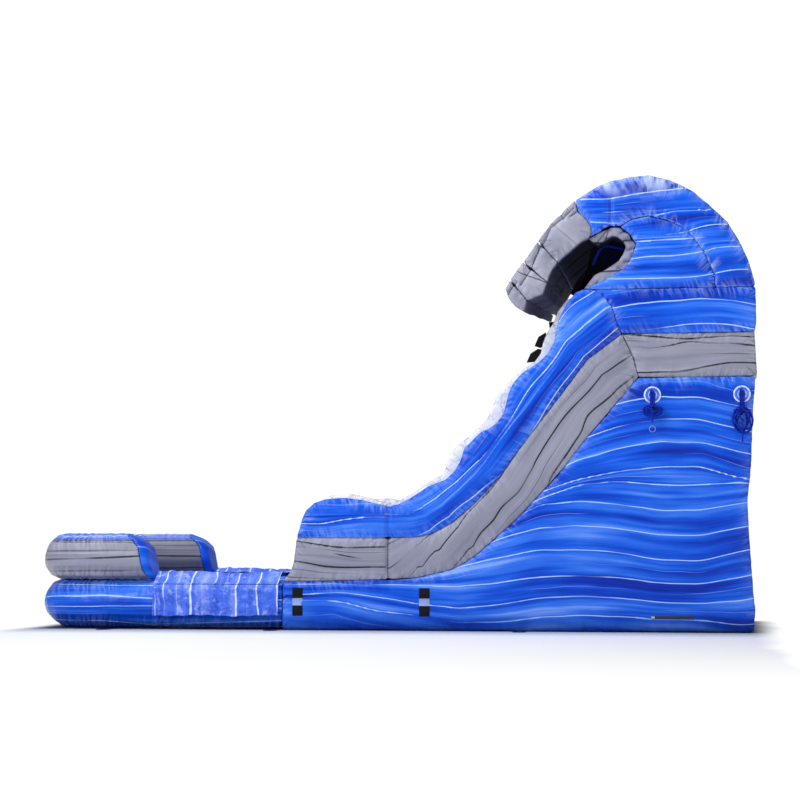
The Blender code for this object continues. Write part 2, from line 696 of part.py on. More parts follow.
# The eye's padded rolls and the safety nets.
eye_ring = inset(eye, CLEARANCE)
eye_core = inset(eye, ROLL_WIDTH)
roll_line = eye_ring + eye_core[::-1]
for label, side in SIDES:
    low, high = span(side, HALF - ROLL_INSET - ROLL_DEPTH, HALF - ROLL_INSET)
    cushion(f"eye_roll_{label}", roll_line, low, high, GREY, seam=ROLL_WIDTH / 6, crown=CROWN / 4)

net_line = plane(SHARES_NET)
xs = [x for x, z in net_line]
zs = [z for x, z in net_line]


def within(x, z):
    """Whether a point lies inside the net's outline."""
    hit = False
    for (x0, z0), (x1, z1) in zip(net_line, net_line[1:] + net_line[:1]):
        if (z0 > z) != (z1 > z) and x < x0 + (z - z0) / (z1 - z0) * (x1 - x0):
            hit = not hit
    return hit


for label, side in SIDES:
    low, high = span(side, INNER - CLEARANCE - NET_THICKNESS, INNER - CLEARANCE)
    rings = [[(x, y, z) for x, z in net_line] for y in (low, high)]
    net = add(f"safety_net_{label}", *stitch(rings), MESH)
    verts, faces = [], []
    gap = NET_MESH - NET_CORD
    for i in range(int((max(xs) - min(xs)) / NET_MESH)):
        for j in range(int((max(zs) - min(zs)) / NET_MESH)):
            x = min(xs) + NET_CORD + i * NET_MESH
            z = min(zs) + NET_CORD + j * NET_MESH
            corners = [(x, z), (x + gap, z), (x + gap, z + gap), (x, z + gap)]
            edges = [(x + dx * NET_CORD, z + dz * NET_CORD) for (x, z), dx, dz in zip(
                corners, (-1, 1, 1, -1), (-1, -1, 1, 1))]
            if not all(within(*corner) for corner in edges):
                continue
            count = len(verts)
            for y in (low - NET_CORD, high + NET_CORD):
                verts += [(cx, y, cz) for cx, cz in corners]
            faces += [tuple(count + k for k in face) for face in (
                (0, 1, 2, 3), (7, 6, 5, 4), (0, 4, 5, 1), (1, 5, 6, 2), (2, 6, 7, 3), (3, 7, 4, 0))]
    cutter = add(f"net_gaps_{label}", verts, faces, MESH)
    cutter.hide_render = True
    cutter.display_type = "WIRE"
    cut = net.modifiers.new("gaps", "BOOLEAN")
    cut.operation = "DIFFERENCE"
    cut.solver = "EXACT"
    cut.object = cutter
    bpy.context.view_layer.update()
    graph = bpy.context.evaluated_depsgraph_get()
    finished = bpy.data.meshes.new_from_object(net.evaluated_get(graph))
    net.modifiers.clear()
    net.data = finished
    bpy.data.objects.remove(cutter, do_unlink=True)

# Anchor patches, tethers and the ring.
DISC_SIDES = 16
TURN_STEPS = 12
spots = (("front", PATCH_FRONT, BUNDLE_HEIGHT), ("back", PATCH_BACK, BUNDLE_BACK_HEIGHT))
for label, side in SIDES:
    for place, x, tall in spots:
        rings = []
        for y in (HALF + CLEARANCE, HALF + CLEARANCE + PATCH_THICKNESS):
            ring = []
            for s in range(DISC_SIDES):
                turn = 2 * math.pi * s / DISC_SIDES
                ring.append((
                    x + PATCH_RADIUS * math.cos(turn), side * y, PATCH_HEIGHT + PATCH_RADIUS * math.sin(turn),
                ))
            rings.append(ring)
        add(f"anchor_patch_{place}_{label}", *stitch(rings), CLEAR)

        y0 = side * (HALF + 2 * CLEARANCE + PATCH_THICKNESS + TETHER_RADIUS)
        tether_top = PATCH_HEIGHT + TETHER_LIFT
        centre_z = tether_top - TETHER_DROP - tall / 2
        path = [(x, y0, tether_top)]
        for i in range(int((BUNDLE_TURNS + 0.5) * TURN_STEPS) + 1):
            turn = 2 * math.pi * i / TURN_STEPS
            path.append((
                x + BUNDLE_WIDTH / 2 * math.sin(turn), y0 + side * BUNDLE_PITCH * i / TURN_STEPS,
                centre_z + tall / 2 * math.cos(turn),
            ))
        tx, ty, tz = path[-1]
        path.append((tx, ty, tz - TETHER_TAIL))
        gaps = [math.dist(a, b) for i, a in enumerate(path) for b in path[i + TURN_STEPS // 2 + 1:]]
        print("least gap of", place, label, "tether to itself, mm:", (min(gaps) - 2 * TETHER_RADIUS) * 1000)
        tube(f"tether_{place}_{label}", path, TETHER_RADIUS, WEB, 5, (x, y0, tether_top))
        if side == NEAR and place == "front":
            circle = []
            cz = tz - TETHER_TAIL - CLEARANCE - RING_RADIUS - RING_WIRE
            for s in range(DISC_SIDES):
                turn = 2 * math.pi * s / DISC_SIDES
                circle.append((tx + RING_RADIUS * math.cos(turn), ty, cz + RING_RADIUS * math.sin(turn)))
            rings = []
            for cx, cy, cz2 in circle:
                dx, dz = (cx - tx) / RING_RADIUS, (cz2 - cz) / RING_RADIUS
                ring = []
                for s in range(6):
                    turn = 2 * math.pi * s / 6
                    out, aside = RING_WIRE * math.cos(turn), RING_WIRE * math.sin(turn)
                    ring.append((cx + dx * out, cy + aside, cz2 + dz * out))
                rings.append(ring)
            add("tether_ring", *stitch(rings, True), STEEL)

# Stake loops, flat on the ground under the cushions' rounded edges.
(_, _, _), (in_share, round_share, _) = SHARES_EDGE[:2]
rise_run = (1 - round_share) / in_share
side_root = HALF - SEAM_ROUND - CROWN + (LOOP_THICKNESS + CLEARANCE) * rise_run
(u0, z0), (u1, z1) = SHARES_TUBE[1:3]
tube_run = (u1 - u0) * TUBE_WIDTH / ((z1 - z0) * TUBE_HEIGHT)
pool_root = CENTRE + u0 * TUBE_WIDTH + (LOOP_THICKNESS + CLEARANCE) * tube_run
LOOP_STEPS = 6
places = (("pool", LOOP_POOL, pool_root), ("join", LOOP_JOIN, pool_root), ("tower", LOOP_TOWER, side_root))
for label, side in SIDES:
    for place, x, root in places:
        spread = LOOP_WIDTH / 2 - LOOP_WEB / 2
        bend = HALF + LOOP_REACH - spread - LOOP_WEB / 2
        line = [(-1.0, 0.0, root)]
        for i in range(LOOP_STEPS + 1):
            turn = math.pi * i / LOOP_STEPS
            line.append((-math.cos(turn), math.sin(turn), bend))
        line.append((1.0, 0.0, root))
        rings = []
        for across, along, base in line:
            ring = []
            size = math.hypot(across, along)
            for out, z in ((-1, 0.0), (1, 0.0), (1, LOOP_THICKNESS), (-1, LOOP_THICKNESS)):
                reach = spread + out * LOOP_WEB / 2
                ring.append((x + across / size * reach, side * (base + along / size * reach), z))
            rings.append(ring)
        add(f"stake_loop_{place}_{label}", *stitch(rings), WEB)

# Hook-and-loop straps, zip with its slider, inflation sleeves.
face = HALF + CLEARANCE
for place, x in (("front", STRAP_FRONT), ("back", STRAP_BACK)):
    profile = [
        (STRAP_FOOT, 0.0), (STRAP_FOOT, STRAP_PAD), (STRAP_FOOT + PAD_HEIGHT, STRAP_PAD),
        (STRAP_FOOT + PAD_HEIGHT, STRAP_THICKNESS / 2), (STRAP_TOP - PAD_HEIGHT, STRAP_THICKNESS / 2),
        (STRAP_TOP - PAD_HEIGHT, STRAP_PAD), (STRAP_TOP, STRAP_PAD), (STRAP_TOP, 0.0),
    ]
    rings = []
    for end in (x - STRAP_WIDTH / 2, x + STRAP_WIDTH / 2):
        rings.append([(end, -(face + y), z) for z, y in profile])
    add(f"side_strap_{place}", *stitch(rings), DARK)

zip_out = face + ZIP_THICKNESS
box(
    "deflation_zip", (ZIP_START, -zip_out, ZIP_HEIGHT - ZIP_WIDTH / 2),
    (ZIP_START + ZIP_LENGTH, -face, ZIP_HEIGHT + ZIP_WIDTH / 2), DARK,
)
slider_in = zip_out + CLEARANCE
box(
    "zip_slider", (ZIP_START, -slider_in - SLIDER_THICKNESS, ZIP_HEIGHT - SLIDER_WIDTH / 2),
    (ZIP_START + SLIDER_LENGTH, -slider_in, ZIP_HEIGHT + SLIDER_WIDTH / 2), STEEL,
    (ZIP_START, -slider_in, ZIP_HEIGHT),
)

for place, x in (("front", SLEEVE_FRONT), ("back", SLEEVE_BACK)):
    rings = []
    stops = (
        (face, SLEEVE_RADIUS), (HALF + SLEEVE_LENGTH, SLEEVE_RADIUS),
        (HALF + SLEEVE_LENGTH, SLEEVE_RADIUS - SLEEVE_WALL), (face, SLEEVE_RADIUS - SLEEVE_WALL),
    )
    for y, radius in stops:
        ring = []
        for s in range(DISC_SIDES):
            turn = 2 * math.pi * s / DISC_SIDES
            ring.append((x + radius * math.cos(turn), y, SLEEVE_RADIUS + radius * math.sin(turn)))
        rings.append(ring)
    add(f"inflation_sleeve_{place}", *stitch(rings, True), BLUE)
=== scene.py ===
"""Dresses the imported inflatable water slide: stuffed cushions, hung and laid sheets, ropes, webbing and the studio."""

import json
import math

import bmesh
import bpy
import numpy as np
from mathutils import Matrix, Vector

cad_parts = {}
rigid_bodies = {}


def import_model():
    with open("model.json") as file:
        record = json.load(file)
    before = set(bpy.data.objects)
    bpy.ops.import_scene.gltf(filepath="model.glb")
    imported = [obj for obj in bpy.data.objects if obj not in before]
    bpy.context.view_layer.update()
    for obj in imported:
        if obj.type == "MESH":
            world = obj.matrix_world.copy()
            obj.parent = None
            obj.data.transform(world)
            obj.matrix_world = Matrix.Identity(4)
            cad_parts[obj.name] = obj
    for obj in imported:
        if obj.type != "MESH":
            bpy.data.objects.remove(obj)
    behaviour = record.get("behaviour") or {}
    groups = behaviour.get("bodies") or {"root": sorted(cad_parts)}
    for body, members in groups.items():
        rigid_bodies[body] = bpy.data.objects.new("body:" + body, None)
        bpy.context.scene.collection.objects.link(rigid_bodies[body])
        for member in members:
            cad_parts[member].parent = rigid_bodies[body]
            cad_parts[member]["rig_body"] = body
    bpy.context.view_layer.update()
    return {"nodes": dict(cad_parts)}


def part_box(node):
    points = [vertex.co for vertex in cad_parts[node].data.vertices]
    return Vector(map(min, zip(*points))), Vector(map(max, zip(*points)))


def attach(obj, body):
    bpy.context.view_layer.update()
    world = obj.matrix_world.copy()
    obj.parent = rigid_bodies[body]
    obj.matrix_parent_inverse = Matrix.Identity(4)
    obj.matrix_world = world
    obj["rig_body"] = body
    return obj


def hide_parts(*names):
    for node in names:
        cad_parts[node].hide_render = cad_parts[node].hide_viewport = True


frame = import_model()
nodes = frame["nodes"]

HALF = 1.525  # half of the slide's width
TUBE = HALF - 0.25  # the middle of the pool's tube, out from the slide's middle
POOL_END = -3.725
SIDES = (("near", -1), ("far", 1))


def linked(title, data):
    """A new object in the scene."""
    obj = bpy.data.objects.new(title, data)
    bpy.context.scene.collection.objects.link(obj)
    return obj


# The camera stands where the photograph was taken.
lens = bpy.data.cameras.new("camera")
lens.lens = 93.6
lens.sensor_width = 36
lens.clip_end = 200
camera = linked("camera", lens)
camera.location = (3.3375, -22.325, 0.91)
camera.rotation_euler = (math.radians(93.85), 0, math.radians(8.72))
bpy.context.scene.camera = camera


# Shader sums, written as Python sums.
class Signal:
    """A node's output. Sums and products on it add Math nodes."""

    def __init__(self, tree, socket):
        self.tree = tree
        self.socket = socket

    def math(self, operation, *values):
        return node(self.tree, "ShaderNodeMath", {"operation": operation}, values)

    def __add__(self, other):
        return self.math("ADD", self, other)

    def __sub__(self, other):
        return self.math("SUBTRACT", self, other)

    def __rsub__(self, other):
        return self.math("SUBTRACT", other, self)

    def __mul__(self, other):
        return self.math("MULTIPLY", self, other)

    def __truediv__(self, other):
        return self.math("DIVIDE", self, other)

    def __abs__(self):
        return self.math("ABSOLUTE", self)

    def sine(self):
        return self.math("SINE", self)

    def higher(self, other):
        return self.math("MAXIMUM", self, other)

    def ease(self, low, high, to_low=0.0, to_high=1.0):
        """A smooth step between two levels."""
        settings = {"interpolation_type": "SMOOTHSTEP"}
        return node(self.tree, "ShaderNodeMapRange", settings, (self, low, high, to_low, to_high))


def feed(tree, socket, value):
    """Links a signal to a socket, or sets the socket's own value."""
    if isinstance(value, Signal):
        tree.links.new(value.socket, socket)
    elif socket.type == "RGBA":
        socket.default_value = (*value, 1.0)
    else:
        socket.default_value = value


def node(tree, kind, settings, values, pick=0):
    """Adds a node, with its settings first and then its sockets' values or links."""
    made = tree.nodes.new(kind)
    for name, value in settings.items():
        if name == "stops":
            while len(made.color_ramp.elements) < len(value):
                made.color_ramp.elements.new(0.5)
            for element, (place, colour) in zip(made.color_ramp.elements, value):
                element.position = place
                element.color = (*colour, 1.0)
        else:
            setattr(made, name, value)
    for key, value in values.items() if isinstance(values, dict) else enumerate(values):
        feed(tree, made.inputs[key], value)
    return Signal(tree, made.outputs[pick])


def blend_colour(tree, share, first, second):
    """One colour over another by a share."""
    return node(tree, "ShaderNodeMix", {"data_type": "RGBA"}, {0: share, 6: first, 7: second}, 2)


def fresh(name):
    """An empty material with its shader."""
    made = bpy.data.materials.new(name)
    made.use_nodes = True
    return made, made.node_tree, made.node_tree.nodes["Principled BSDF"]


def plug(tree, shader, **sockets):
    """Feeds the shader's sockets, by their names."""
    for name, value in sockets.items():
        feed(tree, shader.inputs[name.replace("_", " ")], value)


def numbers(tree, signal):
    """The three numbers of a vector."""
    return [node(tree, "ShaderNodeSeparateXYZ", {}, [signal], i) for i in range(3)]


def parts_of(tree, name):
    """The three numbers of an attribute."""
    return numbers(tree, node(tree, "ShaderNodeAttribute", {"attribute_name": name}, {}, 1))


def place_in(tree):
    """The point that is shaded, whole and as its three numbers."""
    place = node(tree, "ShaderNodeTexCoord", {}, {}, 3)
    return place, numbers(tree, place)


def noise(tree, at, scale, detail=2.0, rough=0.5):
    """Noise from 0 to 1, with a cell every 1 / scale metres."""
    return node(tree, "ShaderNodeTexNoise", {}, {"Vector": at, "Scale": scale, "Detail": detail, "Roughness": rough})


def relief(tree, height):
    """A bump from a height in metres."""
    return node(tree, "ShaderNodeBump", {}, {"Height": height, "Distance": 1.0, "Strength": 1.0})


def marbled(
    name, tones, vein, vein_share, widths, roughness, second, shade, glint,
    upper=None, crumple=0.0034, shade_tone=(0.0, 0.001, 0.006), crown=None,
):
    """Printed vinyl: streaks and thin veins run with the cushion's own flow, and puckers leave its seams."""
    made, tree, shader = fresh(name)
    along, flow, steep = parts_of(tree, "stream")
    arc, depth, strength = parts_of(tree, "seam")
    dim, tuck, calm = parts_of(tree, "dim")
    place, (_, _, rise) = place_in(tree)
    black, stitch_pace, stitch_depth = (0.0, 0.0, 0.01), 420.0, 0.016

    def grain(u, v, w, detail, rough=0.5):
        return noise(tree, node(tree, "ShaderNodeCombineXYZ", {}, [u, v, w]), 1.0, detail, rough)

    def nearest_line(level, closeness):
        """The number of the nearest vein, and the distance from it in metres."""
        whole = level.math("ROUND", level)
        return whole, abs(level - whole) / closeness

    # The print: bold and fine veins over streaks and clouds.
    waver = grain(along * 2.6, flow * 0.9, 0.0, 1.0) - 0.5
    bent = flow + waver * 0.10
    nearest, apart = nearest_line(bent, steep)
    broken = grain(along * 1.3, nearest * 7.3, 0.0, 2.0)
    half = (broken - 0.30) * widths[1] + widths[0]
    line = (1.0 - (apart / half).ease(0.35, 1.0)) * strength * broken.ease(0.28, 0.5)
    fine_near, fine_apart = nearest_line(bent * 2.0 + waver * 0.35, steep * 2.0)
    fine_broken = grain(along * 0.9, fine_near * 3.7, 4.0, 2.0)
    fine_line = (1.0 - (fine_apart / (widths[0] * 0.8)).ease(0.3, 1.0)) * fine_broken.ease(0.50, 0.62) * second
    streak = grain(along * 0.38, bent * 1.9, 0.0, 3.0, 0.55)
    cloud = grain(along * 0.9, bent * 0.8, 7.0, 2.0)
    mottle = streak * 0.64 + cloud * 0.36
    tone = node(tree, "ShaderNodeValToRGB", {"stops": tones}, [mottle])
    tone = blend_colour(tree, line * vein_share, tone, vein)
    tone = blend_colour(tree, fine_line, tone, vein)
    if upper:  # another print above a level, with a dark hem between the two
        level, top_tones, top_vein = upper
        top_tone = node(tree, "ShaderNodeValToRGB", {"stops": top_tones}, [mottle])
        top_tone = blend_colour(tree, line * 0.8, top_tone, top_vein)
        tone = blend_colour(tree, rise.ease(level - 0.004, level + 0.004), tone, top_tone)
        hem = 1.0 - abs(rise - level).ease(0.003, 0.012)
        tone = blend_colour(tree, hem * 0.7, tone, (0.01, 0.01, 0.03))
    # Painted highlight: patches of lighter sheen on the top, where the light from above falls.
    if crown:  # a sheen in patches above a level
        sheen = grain(arc * 9.0, depth * 4.0, 2.0, 3.0).ease(0.35, 0.70)
        tone = blend_colour(tree, rise.ease(crown, crown + 0.26) * sheen * 0.62, tone, glint)

    # The seams: puckers and folds that fade into the face, with a painted glint on the puckers' ridges, and a dark
    # groove of painted shade along the seams and the tucks.
    pucker = grain(arc * 13.0 + depth * 4.0, depth * 3.0, 0.0, 1.5) - 0.5
    fold = grain(arc * 6.5, depth * 1.6, 3.0, 1.0) - 0.5
    ragged = grain(arc * 5.0, 0.0, 9.0, 2.0) - 0.5
    gather = grain(arc * 1.1, 0.0, 5.0, 1.0).ease(0.34, 0.62, 0.15, 1.0)
    open_face = 1.0 - calm.ease(0.15, 0.8)
    fade = (depth + ragged * 0.20).ease(-0.02, 0.17, 1.0, 0.0) * open_face
    fade_wide = depth.ease(0.0, 0.24, 1.0, 0.0) * open_face
    ridge = (1.0 - (abs(pucker) * 9.0).ease(0.0, 1.0)) * fade * gather * (1.0 - dim.ease(0.0, 0.25))
    tone = blend_colour(tree, ridge * 0.36, tone, glint)
    groove = depth.ease(0.003, 0.022, shade * 0.85, 0.0) + tuck.ease(0.002, 0.010, shade * 1.5, 0.0)
    tone = blend_colour(tree, groove, tone, black)
    # Painted shade: darker towards the ground, and where the cushion's shade says the light does not reach.
    tone = blend_colour(tree, dim, tone, shade_tone)

    # The cloth: creases all over, sharp ones where it is crumpled, with painted shade in the sharp creases and a
    # painted highlight on the cloth between them, and a row of stitches.
    cloth = noise(tree, place, 9.0, 3.0) - 0.5
    crease = abs(noise(tree, place, 6.5, 2.0, 0.6) - 0.5)
    if crumple > 0.005:
        sharp = abs(noise(tree, place, 4.0, 5.0, 0.6) - 0.5)
        tone = blend_colour(tree, sharp.ease(0.0, 0.022, 0.38, 0.0), tone, shade_tone)
        tone = blend_colour(tree, cloth.ease(0.06, 0.16, 0.0, 0.45), tone, glint)
    height = pucker * fade * gather * 0.050 + fold * fade_wide * 0.050 + ridge * 0.0050 + cloth * crumple
    height = height - crease * (crumple * 1.2) - tuck.ease(0.0, 0.030, 0.008, 0.0)
    stitch = (1.0 - (abs(depth - stitch_depth) * 400.0).ease(0.3, 1.0)) * (arc * stitch_pace).sine().ease(-0.2, 0.3)
    height = height - stitch * 0.0006
    rough = cloth * 0.10 + dim * 0.6 + roughness
    plug(tree, shader, Base_Color=tone, Roughness=rough, Normal=relief(tree, height), Specular_IOR_Level=0.17)
    return made


BLUES = [
    (0.33, (0.001, 0.013, 0.26)), (0.42, (0.001, 0.036, 0.45)), (0.50, (0.004, 0.090, 0.66)),
    (0.575, (0.038, 0.172, 0.79)), (0.67, (0.190, 0.350, 0.89)),
]
LILACS = [
    (0.30, (0.020, 0.070, 0.58)), (0.48, (0.060, 0.150, 0.76)), (0.62, (0.180, 0.270, 0.86)),
    (0.75, (0.40, 0.47, 0.92)),
]
GREYS = [
    (0.28, (0.120, 0.126, 0.175)), (0.42, (0.210, 0.216, 0.290)), (0.56, (0.275, 0.280, 0.370)),
    (0.72, (0.400, 0.405, 0.490)),
]
PALES = [(0.35, (0.58, 0.60, 0.66)), (0.55, (0.72, 0.74, 0.79)), (0.7, (0.84, 0.85, 0.88))]
WHITE_VEIN, BLACK_VEIN = (0.46, 0.64, 0.95), (0.004, 0.005, 0.010)
NAVY, GREY_GLINT = (0.0, 0.014, 0.20), (0.52, 0.54, 0.66)
BLUE_PRINT = (BLUES, WHITE_VEIN, 0.85, (0.0045, 0.008), 0.30, 0.30)
blue_vinyl = marbled("blue_marbled_vinyl", *BLUE_PRINT, 0.26, (0.36, 0.52, 0.96), shade_tone=NAVY)
hood_vinyl = marbled("blue_hood_vinyl", *BLUE_PRINT, 0.22, (0.58, 0.70, 0.97), crumple=0.0049, shade_tone=NAVY, crown=4.26)
lilac_vinyl = marbled(
    "lilac_crumpled_vinyl", LILACS, (0.70, 0.80, 0.98), 0.9, (0.009, 0.014), 0.32, 0.25, 0.0, (0.42, 0.52, 0.95),
    crumple=0.020, shade_tone=NAVY,
)
grey_vinyl = marbled("grey_marbled_vinyl", GREYS, BLACK_VEIN, 0.95, (0.0075, 0.018), 0.38, 0.60, 0.50, GREY_GLINT)
crest_vinyl = marbled(
    "grey_crest_vinyl", GREYS, BLACK_VEIN, 0.90, (0.0055, 0.010), 0.40, 0.20, 0.55, GREY_GLINT, crumple=0.0049
)
# The bumper's top panel is blue vinyl, printed in the lighter lilac tones: partly its own colour and partly a painted
# highlight from the light above.
bumper_vinyl = marbled(
    "grey_vinyl_with_blue_top", GREYS, BLACK_VEIN, 0.97, (0.009, 0.022), 0.38, 0.4, 0.40, GREY_GLINT,
    (0.905, LILACS, (0.75, 0.83, 0.97)),
)
pale_vinyl = marbled(
    "pale_vinyl", PALES, (0.30, 0.36, 0.55), 0.25, (0.005, 0.006), 0.42, 0.10, 0.40, (0.8, 0.82, 0.9), crumple=0.006,
    shade_tone=(0.06, 0.06, 0.09),
)

# Each cushion's skin: the material, and the name of a slot of the frame.
BLUE, GREY, PALE = (blue_vinyl, "blue_vinyl"), (grey_vinyl, "grey_vinyl"), (pale_vinyl, "pale_vinyl")
HOOD_BLUE, CREST_GREY = (hood_vinyl, "blue_vinyl"), (crest_vinyl, "grey_vinyl")
BUMPER_GREY = (bumper_vinyl, "grey_vinyl")


def woven(name, colour, light, pitch):
    """Woven webbing or rope: a fine diagonal weave."""
    made, tree, shader = fresh(name)
    place, (x, y, z) = place_in(tree)
    turn = 2 * math.pi / pitch
    weave = ((x + z + y) * turn).sine() * ((x - z - y) * turn).sine() * 0.5 + 0.5
    tone = blend_colour(tree, weave * 0.6 + noise(tree, place, 60.0) * 0.3, colour, light)
    height = relief(tree, weave * 0.0009)
    plug(tree, shader, Base_Color=tone, Roughness=0.75, Normal=height, Specular_IOR_Level=0.12)
    return made


webbing = woven("blue_woven_webbing", (0.001, 0.012, 0.24), (0.008, 0.050, 0.60), 0.006)
rope = woven("blue_braided_rope", (0.001, 0.008, 0.20), (0.006, 0.036, 0.56), 0.005)


# Where the pattern's lines run on each cushion, in metres: (place along, height), and strength where it is not full.
TOWER_AT = (-0.88, -0.47, -0.06, 0.35, 0.75, 1.16, 1.56, 1.96, 2.36, 2.75, 3.14, 3.53, 3.75)
TOWER_ROWS = [
    (1.01, 1.01, 1.01, 1.01, 1.31, 1.61, 1.91, 2.13, 2.27, 2.33, 2.32, 2.23, 2.18),
    (0.91, 0.91, 0.91, 0.91, 1.16, 1.43, 1.69, 1.9, 2.04, 2.11, 2.1, 2.0, 1.95),
    (0.79, 0.79, 0.79, 0.79, 1.04, 1.28, 1.51, 1.71, 1.82, 1.88, 1.88, 1.78, 1.74),
    (0.72, 0.72, 0.72, 0.72, 0.93, 1.16, 1.38, 1.51, 1.59, 1.63, 1.63, 1.51, 1.49),
    (0.66, 0.66, 0.66, 0.66, 0.87, 1.1, 1.32, 1.46, 1.49, 1.45, 1.45, 1.48, 1.46),
    (0.61, 0.61, 0.61, 0.61, 0.82, 1.05, 1.26, 1.29, 1.26, 1.2, 1.2, 1.26, 1.29),
    (0.58, 0.58, 0.58, 0.57, 0.74, 0.92, 1.03, 1.05, 1.02, 0.95, 0.95, 1.03, 1.06),
    (0.55, 0.56, 0.56, 0.53, 0.64, 0.73, 0.81, 0.81, 0.78, 0.71, 0.7, 0.79, 0.83),
    (0.46, 0.46, 0.46, 0.45, 0.44, 0.48, 0.54, 0.55, 0.53, 0.48, 0.47, 0.54, 0.58),
    (0.35, 0.38, 0.33, 0.26, 0.22, 0.26, 0.33, 0.35, 0.33, 0.29, 0.28, 0.31, 0.35),
    (0.3, 0.29, 0.19, 0.15, 0.08, 0.09, 0.14, 0.16, 0.15, 0.12, 0.12, 0.07, 0.09),
]
TOWER = [list(zip(TOWER_AT, row)) for row in TOWER_ROWS]
BAND_TOP = [
    (-0.92, 0.93), (0.02, 0.93), (0.32, 0.94), (0.47, 0.97), (0.69, 1.09), (0.91, 1.28), (1.16, 1.54), (1.35, 1.81),
    (1.6, 2.14), (1.79, 2.38), (2.04, 2.71), (2.39, 2.97),
]
WALL = [
    [(3.7, 0.45, 0.0), (3.76, 0.47), (3.8, 0.5), (3.95, 0.53), (4.2, 0.51)],
    [(0.94, 0.24, 0.5), (1.12, 0.22), (1.33, 0.28), (1.72, 0.3), (2.0, 0.28), (2.25, 0.27), (2.53, 0.24),
     (2.87, 0.25), (3.2, 0.29), (3.53, 0.26), (3.78, 0.28), (4.2, 0.3)],
    [(0.0, 0.15), (0.24, 0.14), (0.45, 0.18), (0.65, 0.21), (0.9, 0.22), (0.94, 0.21, 0.0)],
    [(1.2, 0.0, 0.0), (1.3, 0.02), (1.52, 0.07), (1.76, 0.08), (2.11, 0.05), (2.3, 0.02, 0.0), (2.7, -0.01, 0.0),
     (2.92, 0.01), (3.37, 0.05), (3.7, 0.04), (4.19, 0.07)],
]
BAND_LEFT = [
    [(0.0, -0.03), (0.24, -0.07), (0.45, -0.1), (0.9, -0.09)],
    [(0.38, -0.15, 0.0), (0.45, -0.165, 0.9), (0.55, -0.19, 0.9), (0.68, -0.21, 0.0)],
    [(0.0, -0.23), (0.24, -0.28), (0.45, -0.3), (0.9, -0.29)],
    [(0.0, -0.4, 0.6), (0.3, -0.41, 0.6), (0.6, -0.43, 0.0)],
]
BAND_RIGHT = [
    [(0.92, -0.08, 0.8), (1.07, 0.0, 0.8), (1.2, 0.04, 0.0)],
    [(0.91, -0.34), (1.06, -0.23), (1.26, -0.05), (1.37, 0.0), (1.5, 0.05, 0.0)],
    [(1.1, -0.46, 0.6), (1.17, -0.38), (1.27, -0.26), (1.4, -0.16), (1.69, -0.05), (1.86, -0.02),
     (2.15, -0.015, 0.8), (2.34, 0.0, 0.6), (2.65, 0.0, 0.0)],
    [(1.45, -0.4, 0.5), (1.64, -0.31), (1.77, -0.26), (1.93, -0.26), (2.07, -0.21), (2.3, -0.24), (2.5, -0.22),
     (2.73, -0.19), (2.99, -0.17), (3.26, -0.17), (3.54, -0.21), (3.92, -0.22), (4.15, -0.23)],
    [(2.45, -0.46, 0.5), (2.58, -0.42), (2.78, -0.42), (2.99, -0.4), (3.19, -0.4), (3.3, -0.32), (3.44, -0.36),
     (3.63, -0.42), (4.02, -0.41)],
]
BLOCK = [
    [(2.39, 2.96), (2.67, 2.935), (2.87, 2.915), (3.07, 2.9), (3.26, 2.915), (3.46, 2.93), (3.72, 2.91)],
    [(2.4, 2.84), (2.67, 2.82), (2.87, 2.84), (3.07, 2.885), (3.2, 2.86, 0.0), (3.5, 2.85, 0.0), (3.6, 2.84),
     (3.72, 2.82)],
    [(2.5, 2.57), (2.82, 2.57), (3.06, 2.6), (3.31, 2.64), (3.51, 2.67), (3.72, 2.66)],
]
SHOULDER = [
    [(2.2, 3.21), (2.57, 3.26), (2.87, 3.29), (3.17, 3.3), (3.41, 3.29), (3.56, 3.27), (3.72, 3.23)],
    [(2.55, 3.01, 0.0), (2.77, 3.02), (3.07, 3.05), (3.36, 3.05), (3.56, 3.02), (3.72, 2.98)],
]
HOOD = [
    [(1.85, 4.33), (2.25, 4.32), (2.58, 4.37), (2.98, 4.42), (3.13, 4.43, 0.8)],
    [(2.2, 4.19, 0.0), (2.3, 4.19, 0.9), (2.58, 4.21, 0.9), (2.73, 4.19, 0.9), (2.88, 4.21, 0.0)],
    [(2.0, 4.11, 0.8), (2.3, 4.08, 0.8), (2.45, 4.08, 0.0), (2.65, 4.13, 0.0), (2.73, 4.15), (2.88, 4.18),
     (3.03, 4.22), (3.3, 4.25)],
    [(2.9, 3.95, 0.0), (3.06, 3.98), (3.17, 4.02), (3.37, 4.05), (3.44, 4.04)],
    [(2.5, 3.89, 0.0), (2.59, 3.89), (2.78, 3.9), (3.09, 3.91), (3.25, 3.92, 0.0)],
    [(2.45, 3.71), (2.68, 3.74), (2.97, 3.74), (3.17, 3.77), (3.37, 3.82), (3.6, 3.82)],
    [(2.3, 3.52), (2.77, 3.51), (3.07, 3.52), (3.29, 3.55), (3.47, 3.59), (3.7, 3.59)],
]
RING = [
    [(0.0, 0.7), (2.0, 0.66), (4.0, 0.72), (6.0, 0.66), (9.0, 0.7)],
    [(0.0, 0.46), (1.4, 0.44), (2.2, 0.47), (4.0, 0.43), (6.0, 0.46), (9.0, 0.44)],
    [(0.0, 0.3), (1.3, 0.31), (1.9, 0.34), (2.3, 0.33), (2.7, 0.27), (4.5, 0.33), (6.5, 0.28), (9.0, 0.32)],
    [(0.0, 0.22, 0.8), (1.3, 0.24, 0.9), (2.1, 0.23), (2.6, 0.22), (4.5, 0.2), (6.5, 0.24), (9.0, 0.2)],
    [(0.0, 0.09), (1.4, 0.04), (1.9, 0.08), (2.4, 0.08), (4.5, 0.11), (6.5, 0.07), (9.0, 0.1)],
    [(0.0, 0.03, 0.7), (1.4, 0.01, 0.7), (2.4, -0.02, 0.7), (9.0, 0.0, 0.7)],
]
